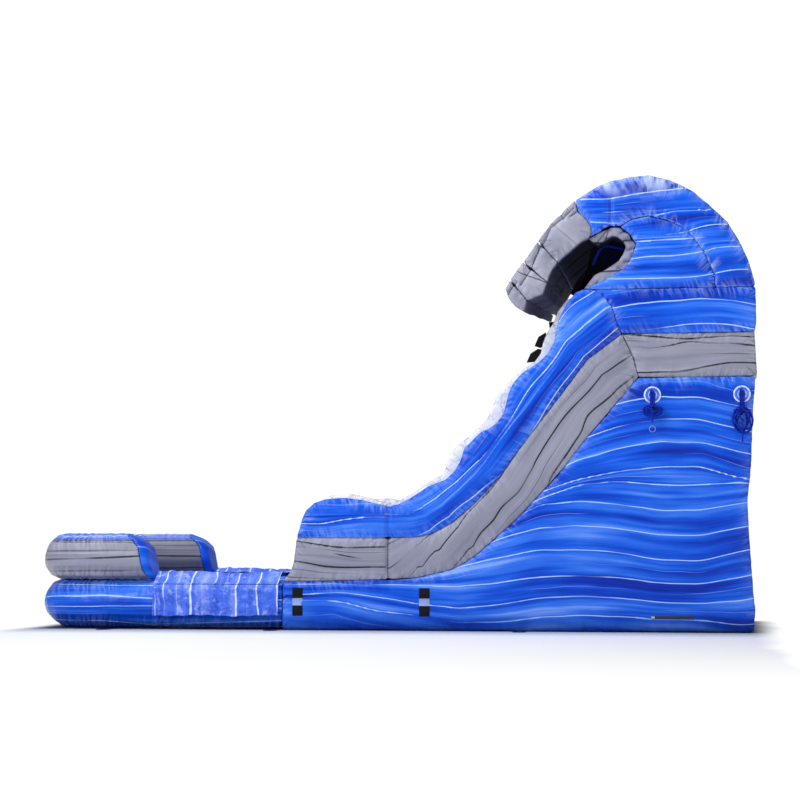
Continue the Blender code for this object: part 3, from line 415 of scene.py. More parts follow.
BUMPER = [
    [(0.0, 1.18), (0.9, 1.2), (2.5, 1.15), (4.5, 1.2), (7.0, 1.16)],
    [(0.0, 1.02, 0.6), (0.6, 1.05, 0.7), (2.5, 1.02, 0.6), (4.5, 1.06, 0.7), (7.0, 1.0, 0.6)],
    [(0.0, 0.87), (0.45, 0.88), (0.8, 0.9), (1.2, 0.88, 0.6), (2.5, 0.9, 0.8), (7.0, 0.88, 0.8)],
    [(0.5, 0.78, 0.0), (0.68, 0.785, 0.8), (0.78, 0.8, 0.8), (0.95, 0.81, 0.0), (2.2, 0.8, 0.7), (3.0, 0.78, 0.0)],
    [(0.0, 0.71), (0.13, 0.7), (0.36, 0.66), (0.58, 0.66), (0.78, 0.69), (0.98, 0.77), (2.5, 0.7, 0.8),
     (4.5, 0.74, 0.9), (7.0, 0.7, 0.8)],
    [(0.3, 0.55, 0.0), (0.6, 0.54, 0.0), (1.1, 0.6, 0.6), (3.0, 0.58, 0.7), (7.0, 0.6, 0.7)],
]


def drift(at, size, seed):
    """A smooth wandering value near -1 to 1, the same on every run."""
    dice = np.random.RandomState(seed)
    total = np.zeros(len(at))
    for _ in range(5):
        way = dice.normal(size=3)
        way /= np.linalg.norm(way)
        pace = 2 * math.pi / size * dice.uniform(0.6, 1.9)
        total += np.sin(at @ way * pace + dice.uniform(0, 6.28)) * dice.uniform(0.5, 1.0)
    return total / 3.0


def eased(share):
    """A smooth step of a share from 0 to 1."""
    return share * share * (3 - 2 * share)


def flow_of(rows, along, height):
    """Which line of the pattern each point lies on, how close the lines are, and how strong the nearest one is."""
    rounding, fading, least_gap, beyond = 0.34, 0.05, 0.012, 0.30
    levels, powers = [], []
    for row in rows:
        spots = np.array([(*spot, 1.0)[:3] for spot in row])
        fine = np.linspace(spots[0, 0] - 0.4, spots[-1, 0] + 0.4, 400)
        soft = np.hanning(max(int(rounding / (fine[1] - fine[0])) | 1, 3))
        bent = np.pad(np.interp(fine, spots[:, 0], spots[:, 1]), len(soft) // 2, mode="edge")
        levels.append(np.interp(along, fine, np.convolve(bent, soft / soft.sum(), mode="valid")))
        outside = np.maximum(spots[0, 0] - along, along - spots[-1, 0])
        powers.append(np.interp(along, spots[:, 0], spots[:, 2]) * np.clip(1 - outside / fading, 0, 1))
    levels = np.array(levels)
    for k in range(1, len(levels)):
        levels[k] = np.minimum(levels[k], levels[k - 1] - least_gap)
    levels = np.vstack([levels[0] + beyond, levels, levels[-1] - beyond])
    powers = np.vstack([powers[0] * 0, np.array(powers), powers[-1] * 0])
    gaps = levels[:-1] - levels[1:]
    flow = np.clip((levels[:-1] - height) / gaps, 0, 1).sum(0)
    which = np.clip(np.floor(flow).astype(int), 0, len(gaps) - 1)
    nearest = np.clip(np.round(flow).astype(int), 0, len(powers) - 1)
    every = np.arange(len(along))
    return flow, 1 / gaps[which, every], powers[nearest, every]


def along_u(x, y):
    """Length along the pool's U from its near end, and distance outwards from the tube's middle."""
    bend, start = 0.30, -1.07
    reach = POOL_END + HALF - TUBE
    cx, cy = reach + bend, TUBE - bend
    quarter, straight, across = bend * math.pi / 2, start - cx, 2 * cy
    length = np.where(y < 0, start - x, straight + 2 * quarter + across + (x - cx))
    out = np.abs(y) - TUBE
    middle = (np.abs(y) <= cy) & (x < cx)
    length = np.where(middle, straight + quarter + (y + cy), length)
    out = np.where(middle, reach - x, out)
    near = (y < -cy) & (x < cx)
    length = np.where(near, straight + np.arctan2(-(x - cx), -(y + cy)) * bend, length)
    out = np.where(near, np.hypot(x - cx, y + cy) - bend, out)
    far = (y > cy) & (x < cx)
    length = np.where(far, straight + quarter + across + np.arctan2(y - cy, -(x - cx)) * bend, length)
    out = np.where(far, np.hypot(x - cx, y - cy) - bend, out)
    return length, out


def upright(run):
    """A run of (x, z) as points in the plane between the two sides."""
    return np.array([(x, 0.0, z) for x, z in run])


def nearest_on(points, runs):
    """The nearest place on some runs of points: length along them, distance, the place itself and the run's way."""
    best = np.full(len(points), 1e9)
    arc = np.zeros(len(points))
    spots, ways = points.copy(), points * 0
    done = 0.0
    for run in runs:
        for a, b in zip(run, run[1:]):
            way = b - a
            size = float(np.linalg.norm(way))
            if size < 1e-6:
                continue
            share = np.clip((points - a) @ way / size**2, 0, 1)
            spot = a + share[:, None] * way
            gap = np.linalg.norm(points - spot, axis=1)
            closer = gap < best
            best = np.where(closer, gap, best)
            arc = np.where(closer, done + share * size, arc)
            spots = np.where(closer[:, None], spot, spots)
            ways = np.where(closer[:, None], way, ways)
            done += size
    return arc, best, spots, ways


# Seams: the loops of the frame's own solid that lie in one plane.
def merged(name):
    """A welded copy of a frame solid, with its edges."""
    work = bmesh.new()
    work.from_mesh(nodes[name].data)
    bmesh.ops.remove_doubles(work, verts=work.verts, dist=0.00005)
    return work


def seam_loops(name):
    """The widest loop at each end of a cushion, as closed runs of points."""
    work = merged(name)
    levels = {}
    for vert in work.verts:
        levels.setdefault(round(vert.co.y, 3), []).append(vert)
    loops = []
    order = sorted(levels)
    for level in (order[3], order[-4]) if len(order) >= 8 else (order[0], order[-1]):
        inside = set(levels[level])
        start = levels[level][0]
        run, before, at = [start], None, start
        while True:
            others = [edge.other_vert(at) for edge in at.link_edges]
            after = [vert for vert in others if vert in inside and vert != before]
            if not after or after[0] == start and len(run) > 2 or len(run) > len(inside):
                break
            pick = after[0] if after[0] not in run else after[-1]
            if pick in run:
                break
            before, at = at, pick
            run.append(pick)
        loops.append(np.array([v.co[:] for v in run + [start]]))
    work.free()
    return loops


# Objects: how a mesh is made, changed, dressed and set in the place of a frame solid.
def from_work(title, work):
    """An object in the scene from a finished bmesh."""
    mesh = bpy.data.meshes.new(title)
    work.to_mesh(mesh)
    work.free()
    return linked(title, mesh)


def from_points(title, points, faces):
    """An object in the scene from points and faces."""
    mesh = bpy.data.meshes.new(title)
    mesh.from_pydata(points, [], faces)
    return linked(title, mesh)


def changed(obj, kind, **settings):
    """Adds a modifier and applies it, with only this object selected."""
    tool = obj.modifiers.new(kind.lower(), kind)
    for name, value in settings.items():
        setattr(tool, name, value)
    bpy.ops.object.select_all(action="DESELECT")
    obj.select_set(True)
    bpy.context.view_layer.objects.active = obj
    bpy.ops.object.modifier_apply(modifier=tool.name)


def dress(obj, surface):
    """Gives the object one material."""
    obj.data.materials.clear()
    obj.data.materials.append(surface)


def stand_in(obj, name):
    """The object takes the place of a frame solid, on that solid's body."""
    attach(obj, nodes[name]["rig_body"])
    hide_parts(name)


def read(obj, field):
    """A vector of each of the object's points."""
    values = np.empty(len(obj.data.vertices) * 3)
    obj.data.vertices.foreach_get(field, values)
    return values.reshape(-1, 3)


def keep(obj, name, values):
    """Writes three numbers for each point."""
    made = obj.data.attributes.new(name, "FLOAT_VECTOR", "POINT")
    made.data.foreach_set("vector", np.column_stack(values).astype(np.float32).ravel())


def torn(obj, arc):
    """How near each point is to a place where the length along the seams jumps, from 0 to 1."""
    ends = np.empty(len(obj.data.edges) * 2, dtype=int)
    obj.data.edges.foreach_get("vertices", ends)
    a, b = ends.reshape(-1, 2).T
    near = np.zeros(len(arc))
    jump = np.abs(arc[a] - arc[b]) > 0.25
    near[a[jump]] = near[b[jump]] = 1.0
    for _ in range(5):
        before = near.copy()
        np.maximum.at(near, a, before[b] * 0.8)
        np.maximum.at(near, b, before[a] * 0.8)
    return near


def filled(y, low, high, seam_low, seam_high, depth):
    """Both ends of a cushion, filled out, so that their seams lie close below the crown and a little sunk."""
    def bring(back, seat):
        near = back * 0.24
        far = back - seat * 0.76 * (1 - eased(np.clip((back - seat) / 0.12, 0, 1)))
        return np.where(back < seat, near, far) + 0.012 * np.clip(1 - depth / 0.26, 0, 1) ** 2 - 0.004
    below = y < (low + high) / 2
    return np.where(below, low + bring(y - low, seam_low - low), high - bring(high - y, high - seam_high))


def stuffed(
    name, voxel, paint, skin, seams, fill=0.85, ripple=0.010, bend=None, dark=None, valley=(0.012, 0.026)
):
    """A stuffed cushion in the place of a frame solid: filled out, drawn in at its seams, and puckered along them."""
    surface, slot = skin
    voxel = voxel * 1.0
    obj = from_work("cushion_" + name, merged(name))
    changed(obj, "REMESH", mode="VOXEL", voxel_size=voxel, use_smooth_shade=True)
    changed(obj, "SMOOTH", factor=0.5, iterations=3)
    points, ways = read(obj, "co"), read(obj, "normal")
    arc, depth, *rest = seams(points)
    tuck = np.ones(len(points))
    if rest:  # the cushion has loops: its seams are drawn tight, and its ends filled out
        close, tuck = rest
        tight = np.clip(1 - depth / (1.7 * voxel), 0, 1) ** 1.3 * 0.95
        points = points + (close - points) * tight[:, None]
        low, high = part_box(name)
        points[:, 1] = filled(points[:, 1], low.y, high.y, seams.loops[0][0][1], seams.loops[1][0][1], depth)
    if bend:
        points = bend(points)
    seed = sum(ord(c) for c in name)
    dice = np.random.RandomState(seed)
    waves = np.zeros(len(points))
    for _ in range(7):
        pace = 2 * math.pi / dice.uniform(0.06, 0.22)
        waves += np.sin(arc * pace + dice.uniform(0, 6.28) + depth * dice.uniform(-4, 4)) * dice.uniform(0.4, 1.0)
    waves = np.clip(waves / 2.6, -1, 1)
    reach = 0.10 + 0.05 * np.sin(arc * 3.1 + seed)
    near = eased(1 - np.clip((depth - 0.07) / 0.12, 0, 1))
    moved = -ripple * (0.5 + 0.5 * waves) * np.exp(-depth / reach) * np.clip(depth / 0.02, 0, 1) * near
    moved += 0.0045 * drift(points, 0.8, seed)
    moved -= valley[0] * np.exp(-((tuck / valley[1]) ** 2))
    moved = np.clip(moved, -0.010 - valley[0], 0.007)
    points = points + ways * moved[:, None]
    points[:, 2] = np.maximum(points[:, 2], 0.0)
    obj.data.vertices.foreach_set("co", points.ravel())
    obj.data.update()
    along, flow, steep, strength = paint(points, ways)
    keep(obj, "stream", (along, flow, steep))
    keep(obj, "seam", (arc, depth, strength))
    foot = 0.06 if bend else 0.75  # the shade at the ground, slight on the pool's round tubes
    dim = foot * np.clip(1 - points[:, 2] / 0.19, 0, 1) ** 1.3
    if dark:
        dim = np.maximum(dim, dark(points, ways))
    keep(obj, "dim", (dim, tuck, torn(obj, arc)))
    dress(obj, surface)
    bpy.ops.object.shade_smooth()
    stand_in(obj, name)


# Paints: where each point of a cushion lies in the pattern, as (along, flow, steep, strength).
FAR_PRINT = 13.0  # how far along the print the far side's pieces start


def rows_paint(rows, axes, shift=(0.0, 0.0)):
    """The pattern's lines from a table, in the plane that axes gives."""
    def paint(points, ways):
        along, height = axes(points)
        far = points[:, 1] > 0
        along = along + far * shift[0]
        return (along + far * FAR_PRINT, *flow_of(rows, along, height + far * shift[1]))
    return paint


def side_plane(points):
    """Place along the slide, and height, which wavers a little from one side of a cushion to the other."""
    return points[:, 0], points[:, 2] + 0.02 * drift(points * (0, 1, 0), 0.7, 5)


def slope_plane(points):
    """Length along the band's upper edge, and signed distance off it."""
    flat = points * (1, 0, 1)
    along, gap, spots, ways = nearest_on(flat, [upright(BAND_TOP)])
    x, _, z = (flat - spots).T
    return along, np.where(ways[:, 0] * z - ways[:, 2] * x > 0, gap, -gap)


def band_paint(points, ways):
    """The band is two panels, each with its own lines."""
    first_panel = 0.935  # the length of the one at its foot
    along, off = slope_plane(points)
    both = zip(flow_of(BAND_LEFT, along, off), flow_of(BAND_RIGHT, along, off))
    return (along + (points[:, 1] > 0) * FAR_PRINT, *(np.where(along < first_panel, *pair) for pair in both))


def hood_paint(points, ways):
    """The hood's ends carry the side's lines, and its back and top carry lines from side to side."""
    pitch, (middle, height) = 0.21, (2.7, 3.3)
    flow, steep, power = flow_of(HOOD, *side_plane(points))
    turn = np.arctan2(points[:, 2] - height, points[:, 0] - middle)
    across = (turn * 1.15 + 0.05 * drift(points, 1.3, 3)) / pitch
    top = np.abs(ways[:, 1]) < 0.55
    along = np.where(top, points[:, 1] + 5, points[:, 0])
    return along, np.where(top, across, flow), np.where(top, 1 / pitch, steep), np.where(top, 0.9, power)


def tube_paint(rows, lift):
    """The lines of a tube of the pool, by height, opened out over its top."""
    def paint(points, ways):
        along, out = along_u(points[:, 0], points[:, 1])
        height = points[:, 2] + np.clip(0.19 - out, 0, 1) * np.clip((points[:, 2] - lift) / 0.2, 0, 1)
        return (along, *flow_of(rows, along, height))
    return paint


def lane_paint(pitch, seed, run=(1.0, 0.0, 0.0), rise=(0.0, 0.0, 1.0)):
    """Loose lines for cushions that the photograph hides: they run one way and wander."""
    def paint(points, ways):
        flow = (points @ np.array(rise) + 0.06 * drift(points, 1.4, seed)) / pitch
        ones = np.ones(len(points))
        return points @ np.array(run), flow, ones / pitch, 0.9 * ones
    return paint


# Seam fields: length along the nearest seam, distance from it, and for loops the closest point and the tucks.
def loops_of(name, tucks=(), joints=()):
    """The cushion's own seams, the tucks across its near face, as runs of (x, z), and joints at places across it."""
    loops = seam_loops(name)
    runs = [upright(run) for run in tucks]

    def seams(points):
        arc, depth, close, _ = nearest_on(points, loops)
        tuck = nearest_on(points * (1, 0, 1), runs)[1] if runs else np.ones(len(points))
        tuck = np.where(points[:, 1] < -HALF + 0.15, tuck, 1.0)
        for joint in joints:
            tuck = np.minimum(tuck, np.abs(points[:, 1] - joint + 0.03 * np.sin(points[:, 2] * 9)))
        return arc, depth, close, tuck
    seams.loops = loops
    return seams


def bed_seams(points):
    """Five channels, sewn along the slope."""
    half_bed, channels = 1.0247, 5
    pitch = 2 * half_bed / channels
    off = np.abs((points[:, 1] + half_bed + pitch / 2) % pitch - pitch / 2)
    return points[:, 0] * 1.3 + points[:, 2], off


def tube_seams(low, high):
    """The tube's panels meet along its foot and its shoulders."""
    def seams(points):
        along, _ = along_u(points[:, 0], points[:, 1])
        return along, np.minimum(np.abs(points[:, 2] - low), np.abs(points[:, 2] - high))
    return seams


def cap_seams(points):
    """A bumper's cap is sewn to it all round."""
    return points[:, 1] * 2 + points[:, 2], np.abs(points[:, 0] - points[:, 0].min()) + 0.01


def rim_seams(points):
    """The nearest edge of a flat cushion's own box."""
    low, high = points.min(0), points.max(0)
    off = np.minimum(points - low, high - points)
    return points[:, 0] + points[:, 1], np.sort(off, axis=1)[:, 1]


# Bends: how the pool's tubes give.
def shifted_u(points, by):
    """Points moved outwards from the middle of the pool's U."""
    x, y, z = points.T
    step = 0.002
    here, over, up = (along_u(*at)[1] for at in ((x, y), (x + step, y), (x, y + step)))
    way = np.column_stack((over - here, up - here, 0 * z)) / step
    size = np.maximum(np.linalg.norm(way, axis=1), 0.5)
    return points + way / size[:, None] * by[:, None]


def bulge(x, y, z, middle, half):
    """How far a tube's wall lies back at its seams, away from the middle of its height."""
    _, out = along_u(x, y)
    return np.clip(np.abs(z - middle) / half, 0, 1) ** 3 * np.clip(np.abs(out) / 0.2, 0, 1) * np.sign(out)


def slumped(points):
    """The bumper's open ends lean back in an S, and its faces bulge between their seams."""
    x, y, z = points.T
    end = -2.44 - 0.24 * np.clip((z - 0.5) / 0.485, 0, 1)
    share = eased(np.clip(1 - (end - x) / 0.50, 0, 1))
    cap = 0.055 * np.sin(math.pi * np.clip((end + 0.12 - x) / 0.40, 0, 1)) ** 2
    back = np.interp(z, (0.50, 0.60, 0.68, 0.76, 0.83, 0.90, 0.96), (0.09, 0.085, 0.065, 0.04, 0.025, 0.05, 0.11))
    leant = points - np.column_stack((back * share - cap, 0 * y, 0 * z))
    return shifted_u(leant, -0.045 * bulge(x, y, z, 0.74, 0.24))


def rounded_ring(points):
    """The ring's walls bulge between their seams, except where the mats lie on them."""
    x, y, z = points.T
    free = np.clip((-2.46 - x) / 0.25, 0, 1)
    return shifted_u(points, -0.07 * bulge(x, y, z, 0.26, 0.26) * free)


# Shades: what the light does not reach.
def under_crest(points, ways):
    """Shade under the crest, deeper towards the eye."""
    x, y, z = points.T
    under = np.clip((ways[:, 0] * 0.8 - ways[:, 2]) * 1.2 - 0.15, 0, 1) * np.clip((y + HALF - 0.01) / 0.12, 0, 1)
    deep = np.clip((x * 0.78 + (z - 3.4) * 0.62 - 1.10) / 0.55, 0, 1)
    return under * (0.62 + 0.365 * deep)


def under_hood(points, ways):
    """Shade inside the hood."""
    x, y, z = points.T
    inside = np.hypot(x - 2.35, z - 3.55) < 0.78
    facing = (2.4 - x) * ways[:, 0] + (3.4 - z) * ways[:, 2] > 0
    return 0.97 * (inside & facing & (np.abs(y) < HALF - 0.06))


def in_eye(points, ways):
    """Shade on the eye's inner faces, away from the outer rim."""
    return np.clip((points[:, 1] + HALF - 0.09) / 0.10, 0, 1) * 0.93


def in_pool(points, ways):
    """Shade on the bumper's faces that look into the pool."""
    x, y, z = points.T
    _, out = along_u(x, y)
    facing = np.clip(-ways[:, 1] * np.sign(y), 0, 1) * np.clip(-out / 0.1, 0, 1)
    return facing * (0.20 + 0.45 * np.clip(1 - (z - 0.5) / 0.40, 0, 1))


# Tucks sewn across the near faces, as runs of (x, z).
JOINS = [[(0.02, 0.40), (0.02, 0.93), (0.02, 1.25)]]
ROLL_TICKS = [
    [(2.12, 3.86), (2.26, 4.06)], [(2.26, 4.06), (2.24, 3.94)], [(2.37, 3.99), (2.44, 4.03)],
    [(2.42, 3.92), (2.52, 3.94)], [(2.46, 3.82), (2.56, 3.84)], [(2.43, 3.70), (2.53, 3.70)],
    [(2.36, 3.64), (2.43, 3.58)],
]
HOOD_JOIN = [[(2.29, 4.33), (2.29, 4.08)]]
CREST_TICKS = [
    [(1.92, 4.25), (1.78, 4.13), (1.67, 4.05), (1.63, 3.93), (1.58, 3.86), (1.52, 3.75), (1.48, 3.63), (1.37, 3.47)],
    [(1.50, 3.68), (1.58, 3.86)], [(1.38, 3.48), (1.48, 3.63)], [(1.24, 3.38), (1.33, 3.50)],
    [(1.77, 4.20), (1.81, 4.14)], [(1.88, 4.16), (1.95, 4.21)],
]

# The cushions that stand on both sides: kind, voxel, paint, skin, tucks and what else is said of them.
PAIRS = [
    ("tower_side", 0.022, rows_paint(TOWER, side_plane, (0.4, 0.03)), BLUE, (), {"ripple": 0.008}),
    ("band", 0.014, band_paint, GREY, JOINS, {}),
    ("block", 0.016, rows_paint(BLOCK, side_plane), GREY, (), {}),
    ("shoulder", 0.016, rows_paint(SHOULDER, side_plane), BLUE, (), {}),
    ("hood_cheek", 0.014, rows_paint(HOOD, side_plane), BLUE, (), {}),
    ("wall", 0.014, rows_paint(WALL, slope_plane), BLUE, JOINS, {}),
    ("liner", 0.016, lane_paint(0.35, 21, (0.7, 0.0, 0.7), (-0.7, 0.0, 0.7)), PALE, (), {}),
    ("eye_roll", 0.011, lane_paint(0.30, 31), GREY, ROLL_TICKS, {"fill": 1.0, "dark": in_eye}),
]
cap_paint = lane_paint(0.40, 17, (0.0, 1.0, 0.0), (0.0, 0.3, 1.0))
for side, _ in SIDES:
    for kind, voxel, paint, skin, tucks, more in PAIRS:
        name = f"{kind}_{side}"
        stuffed(name, voxel, paint, skin, loops_of(name, tucks), **more)
    stuffed("bumper_cap_" + side, 0.014, cap_paint, BLUE, cap_seams, fill=1.0, bend=slumped)

stuffed("hood_roof", 0.020, hood_paint, HOOD_BLUE, loops_of("hood_roof", HOOD_JOIN), ripple=0.016, dark=under_hood)
for number in range(1, 5):
    name = f"crest_course_{number}"
    course = lane_paint(0.55, 40 + number, (0.2, 1.0, 0.3), (-0.62, 0.1, -0.78))
    joints = [-0.75, 0.0, 0.75] if number % 2 else [-1.15, -0.4, 0.4, 1.15]
    seams = loops_of(name, CREST_TICKS, joints)
    stuffed(name, 0.013, course, CREST_GREY, seams, ripple=0.014, dark=under_crest, valley=(0.009, 0.035))
stuffed("slide_bed", 0.020, lane_paint(0.2, 51, (0.8, 0.0, 0.6), (0.15, 1.0, 0.0)), BLUE, bed_seams)
stuffed("platform_deck", 0.020, lane_paint(0.2, 52, (0.0, 1.0, 0.0), (1.0, 0.0, 0.0)), BLUE, loops_of("platform_deck"))
stuffed("climb_wall", 0.018, lane_paint(0.22, 53, (0.0, 1.0, 0.0), (0.0, 0.1, 1.0)), BLUE, loops_of("climb_wall"))
stuffed("base_mattress", 0.034, lane_paint(0.22, 54), BLUE, rim_seams)
stuffed("pool_floor", 0.026, lane_paint(0.22, 55, (1.0, 0.0, 0.0), (0.1, 1.0, 0.0)), BLUE, rim_seams)
stuffed("pool_ring", 0.017, tube_paint(RING, 0.3), BLUE, tube_seams(0.02, 0.47), ripple=0.016, bend=rounded_ring)
stuffed(
    "pool_bumper", 0.016, tube_paint(BUMPER, 0.75), BUMPER_GREY, tube_seams(0.53, 0.92), ripple=0.016, bend=slumped,
    dark=in_pool,
)


# Ropes: the tethers wound below their patches.
ROPE = 0.016  # the rope's thickness


def strand(title, route, thickness, surface, rings):
    """A round cord along a route."""
    curve = bpy.data.curves.new(title, "CURVE")
    curve.dimensions = "3D"
    curve.bevel_depth = thickness / 2
    curve.bevel_resolution = rings
    curve.use_fill_caps = True
    line = curve.splines.new("POLY")
    line.points.add(len(route) - 1)
    for point, at in zip(line.points, route):
        point.co = (*at, 1.0)
    curve.materials.append(surface)
    return linked(title, curve)


def limp(route):
    """A route with its corners rounded as a limp rope rounds them."""
    spots = np.array(route)
    steps = np.linalg.norm(np.diff(spots, axis=0), axis=1)
    runs = np.concatenate(([0.0], np.cumsum(steps)))
    fine = np.linspace(0, runs[-1], int(runs[-1] / 0.007) + 1)
    soft = np.hanning(9) / np.hanning(9).sum()
    dense = [np.pad(np.interp(fine, runs, spots[:, k]), 4, mode="edge") for k in range(3)]
    dense = [np.convolve(line, soft, mode="valid") for line in dense]
    return [tuple(float(v) for v in point) for point in zip(*dense)]


def rope_route(x, side, tall, seed):
    """Down from the patch in three strands, then six turns of a loose hank, a wrap about its middle and an end."""
    y = side * 1.5396
    dice = np.random.RandomState(seed)
    centre = 2.24 - tall / 2
    gap = 0.018
    route = [(x, y, 2.41), (x - gap, y, 2.385), (x - gap, y, centre + 0.07)]
    for middle, foot, way in ((-gap / 2, centre + 0.06, -1), (gap / 2, 2.38, 1)):
        for i in range(9):
            turn = math.pi * i / 8
            route.append((x + middle - gap / 2 * math.cos(turn), y, foot + way * gap / 2 * math.sin(turn)))
    route.append((x + gap, y, centre + 0.07))
    for loop in range(6):
        wide, high = dice.uniform(0.055, 0.105), tall / 2 * dice.uniform(0.62, 1.0)
        tilt, slide = dice.uniform(-0.5, 0.5), dice.uniform(-0.012, 0.012)
        for i in range(12):
            turn = 2 * math.pi * i / 12
            dx, dz = wide * math.sin(turn), high * math.cos(turn)
            over, up = dx * math.cos(tilt) - dz * math.sin(tilt), dx * math.sin(tilt) * 0.5 + dz
            route.append((x + slide + over, y + side * 0.0136 * (loop + i / 12), centre + up))
    last = route[-1][1]
    for i in range(1, 13):
        turn = 2 * math.pi * i / 12
        out = last + side * (0.004 + 0.003 * math.cos(turn))
        route.append((x + 0.022 * math.sin(turn), out, centre + 0.010 * (i - 6) / 3))
    route.append((x, last, centre - tall / 2 - 0.07))
    return limp(route)


for side, sign in SIDES:
    for spot, x, tall, seed in (("front", 2.69, 0.10, 4), ("back", 3.57, 0.30, 9)):
        route = rope_route(x, sign, tall, seed)
        obj = strand(f"rope_{spot}_{side}", route, ROPE, rope, 3)
        stand_in(obj, f"tether_{spot}_{side}")


def remade(name, surface, width):
    """A strap, patch or tab in the place of its frame solid, with its edges eased."""
    work = merged(name)
    bmesh.ops.dissolve_limit(work, angle_limit=0.02, verts=work.verts, edges=work.edges)
    obj = from_work("fitted_" + name, work)
    changed(obj, "BEVEL", width=width, segments=2, limit_method="ANGLE")
    dress(obj, surface)
    bpy.ops.object.shade_smooth_by_angle(angle=math.radians(40))
    stand_in(obj, name)


stake_webbing = woven("navy_woven_webbing", (0.0, 0.004, 0.06), (0.002, 0.014, 0.19), 0.006)
for name in nodes:
    if name.startswith("climb_handle"):
        remade(name, webbing, 0.0015)
    elif name.startswith("stake_loop"):
        remade(name, stake_webbing, 0.0015)


# Sheets: the entry skirts and mats.
def surface_sheet(title, grid, surface, name, thick=0.002):
    """A sheet from a grid of points, with the print's lines down its drop."""
    columns = len(grid[0])
    faces = []
    for r in range(len(grid) - 1):
        for c in range(columns - 1):
            a = r * columns + c
            faces.append((a, a + 1, a + columns + 1, a + columns))
    obj = from_points(title, [point for row in grid for point in row], faces)
    work = bmesh.new()
    work.from_mesh(obj.data)
    bmesh.ops.recalc_face_normals(work, faces=work.faces)
    work.to_mesh(obj.data)
    work.free()
    changed(obj, "SOLIDIFY", thickness=thick, offset=0.0)
    bpy.ops.object.shade_smooth()
    points = read(obj, "co")
    ones = np.ones(len(points))
    stripes = (-2.62, -2.39, -2.30, -2.02, -1.78, -1.54, -1.32, -1.11, -0.9)
    flow = np.interp(points[:, 0] + 0.012 * drift(points, 0.3, 9), stripes, np.arange(9.0))
    keep(obj, "stream", (points[:, 2] + points[:, 1], flow, ones * 4.4))
    keep(obj, "seam", (points[:, 0], np.abs(points[:, 2] - 0.46) + 0.03, ones * 0.95))
    keep(obj, "dim", (0 * ones, ones, 0 * ones))
    dress(obj, surface)
    stand_in(obj, name)
    return obj


def crumpled(x, u, seed):
    """Sharp creases that cross at all angles, from 0 to 1."""
    dice = np.random.RandomState(seed)
    total = 0.0
    for _ in range(7):
        turn, pace = dice.uniform(0, math.pi), dice.uniform(14, 36)
        bow = 0.7 * math.sin(x * dice.uniform(3, 9) + dice.uniform(0, 6)) + 0.5 * math.sin(u * dice.uniform(6, 14))
        run = (x * math.cos(turn) + u * math.sin(turn)) * pace
        total += abs(math.sin(run + bow + dice.uniform(0, 6.28)))
    return total / 7


def fall(x, share):
    """How far the skirt's folds stand off the ring."""
    wave = 0.5 + 0.5 * math.sin(x * 2 * math.pi / 0.155 + 0.9 * math.sin(x * 7.0))
    return 0.003 + 0.0075 * wave * share**1.2 + 0.028 * crumpled(x, share * 0.32, 3) * min(share * 5 + 0.1, 1)


def heap(x, u):
    """How far a mat's loose folds stand up off the ring."""
    middle = math.exp(-((u / 0.14) ** 2))
    return middle * (0.048 + 0.008 * math.sin(x * 5.0) + 0.045 * crumpled(x, u, 8))


ENTRY, ENTRY_WIDE = -2.42, 1.31  # where the entry starts, and its width
FOLD, HEM = 0.4557, 0.140  # the heights of the skirt's fold and hem
# A mat's run over the ring: place out from the tube's middle, and height.
MAT_RUN = (
    (-0.12, 0.5033), (0.0, 0.5040), (0.12, 0.5033), (0.17, 0.484), (0.205, 0.466), (0.232, 0.4625), (0.2533, 0.4590)
)
spans = np.linspace(-0.12, 0.2533, 33)
run = list(zip(spans, np.interp(spans, *zip(*MAT_RUN))))
mat_xs = np.linspace(ENTRY, ENTRY + ENTRY_WIDE, 161)
for side, sign in SIDES:
    grid = []
    for r in range(41):
        share = r / 40
        row = []
        for c in range(201):
            x = ENTRY + ENTRY_WIDE * c / 200
            hem = (0.006 * math.sin(x * 9) + 0.004 * math.sin(x * 37)) * share
            z = FOLD + (HEM - FOLD) * share + hem
            row.append((x + 0.010 * (1 - share), sign * (HALF + fall(x, share)), z))
        grid.append(row)
    skirt = surface_sheet("skirt_" + side, grid, lilac_vinyl, "entry_skirt_" + side)
    grid = [[(x, sign * (TUBE + u), z + 0.001 + heap(x, u)) for x in mat_xs] for u, z in run]
    mat = surface_sheet("mat_" + side, grid, lilac_vinyl, "entry_mat_" + side)


# Safety nets: fine knotted mesh with a bound edge and dark trims.
def netting():
    """Cords that cross, with clear holes between them."""
    made, tree, shader = fresh("black_knotted_net")
    _, (x, _, z) = place_in(tree)
    pitch = 0.014
    ways = [(x + z) / pitch, (x - z) / pitch]
    first, second = [abs(way.math("FRACT", way) - 0.5) for way in ways]
    cords = first.higher(second).ease(0.13, 0.17)
    plug(tree, shader, Base_Color=(0.002, 0.002, 0.003), Roughness=0.9, Alpha=cords, Specular_IOR_Level=0.1)
    return made


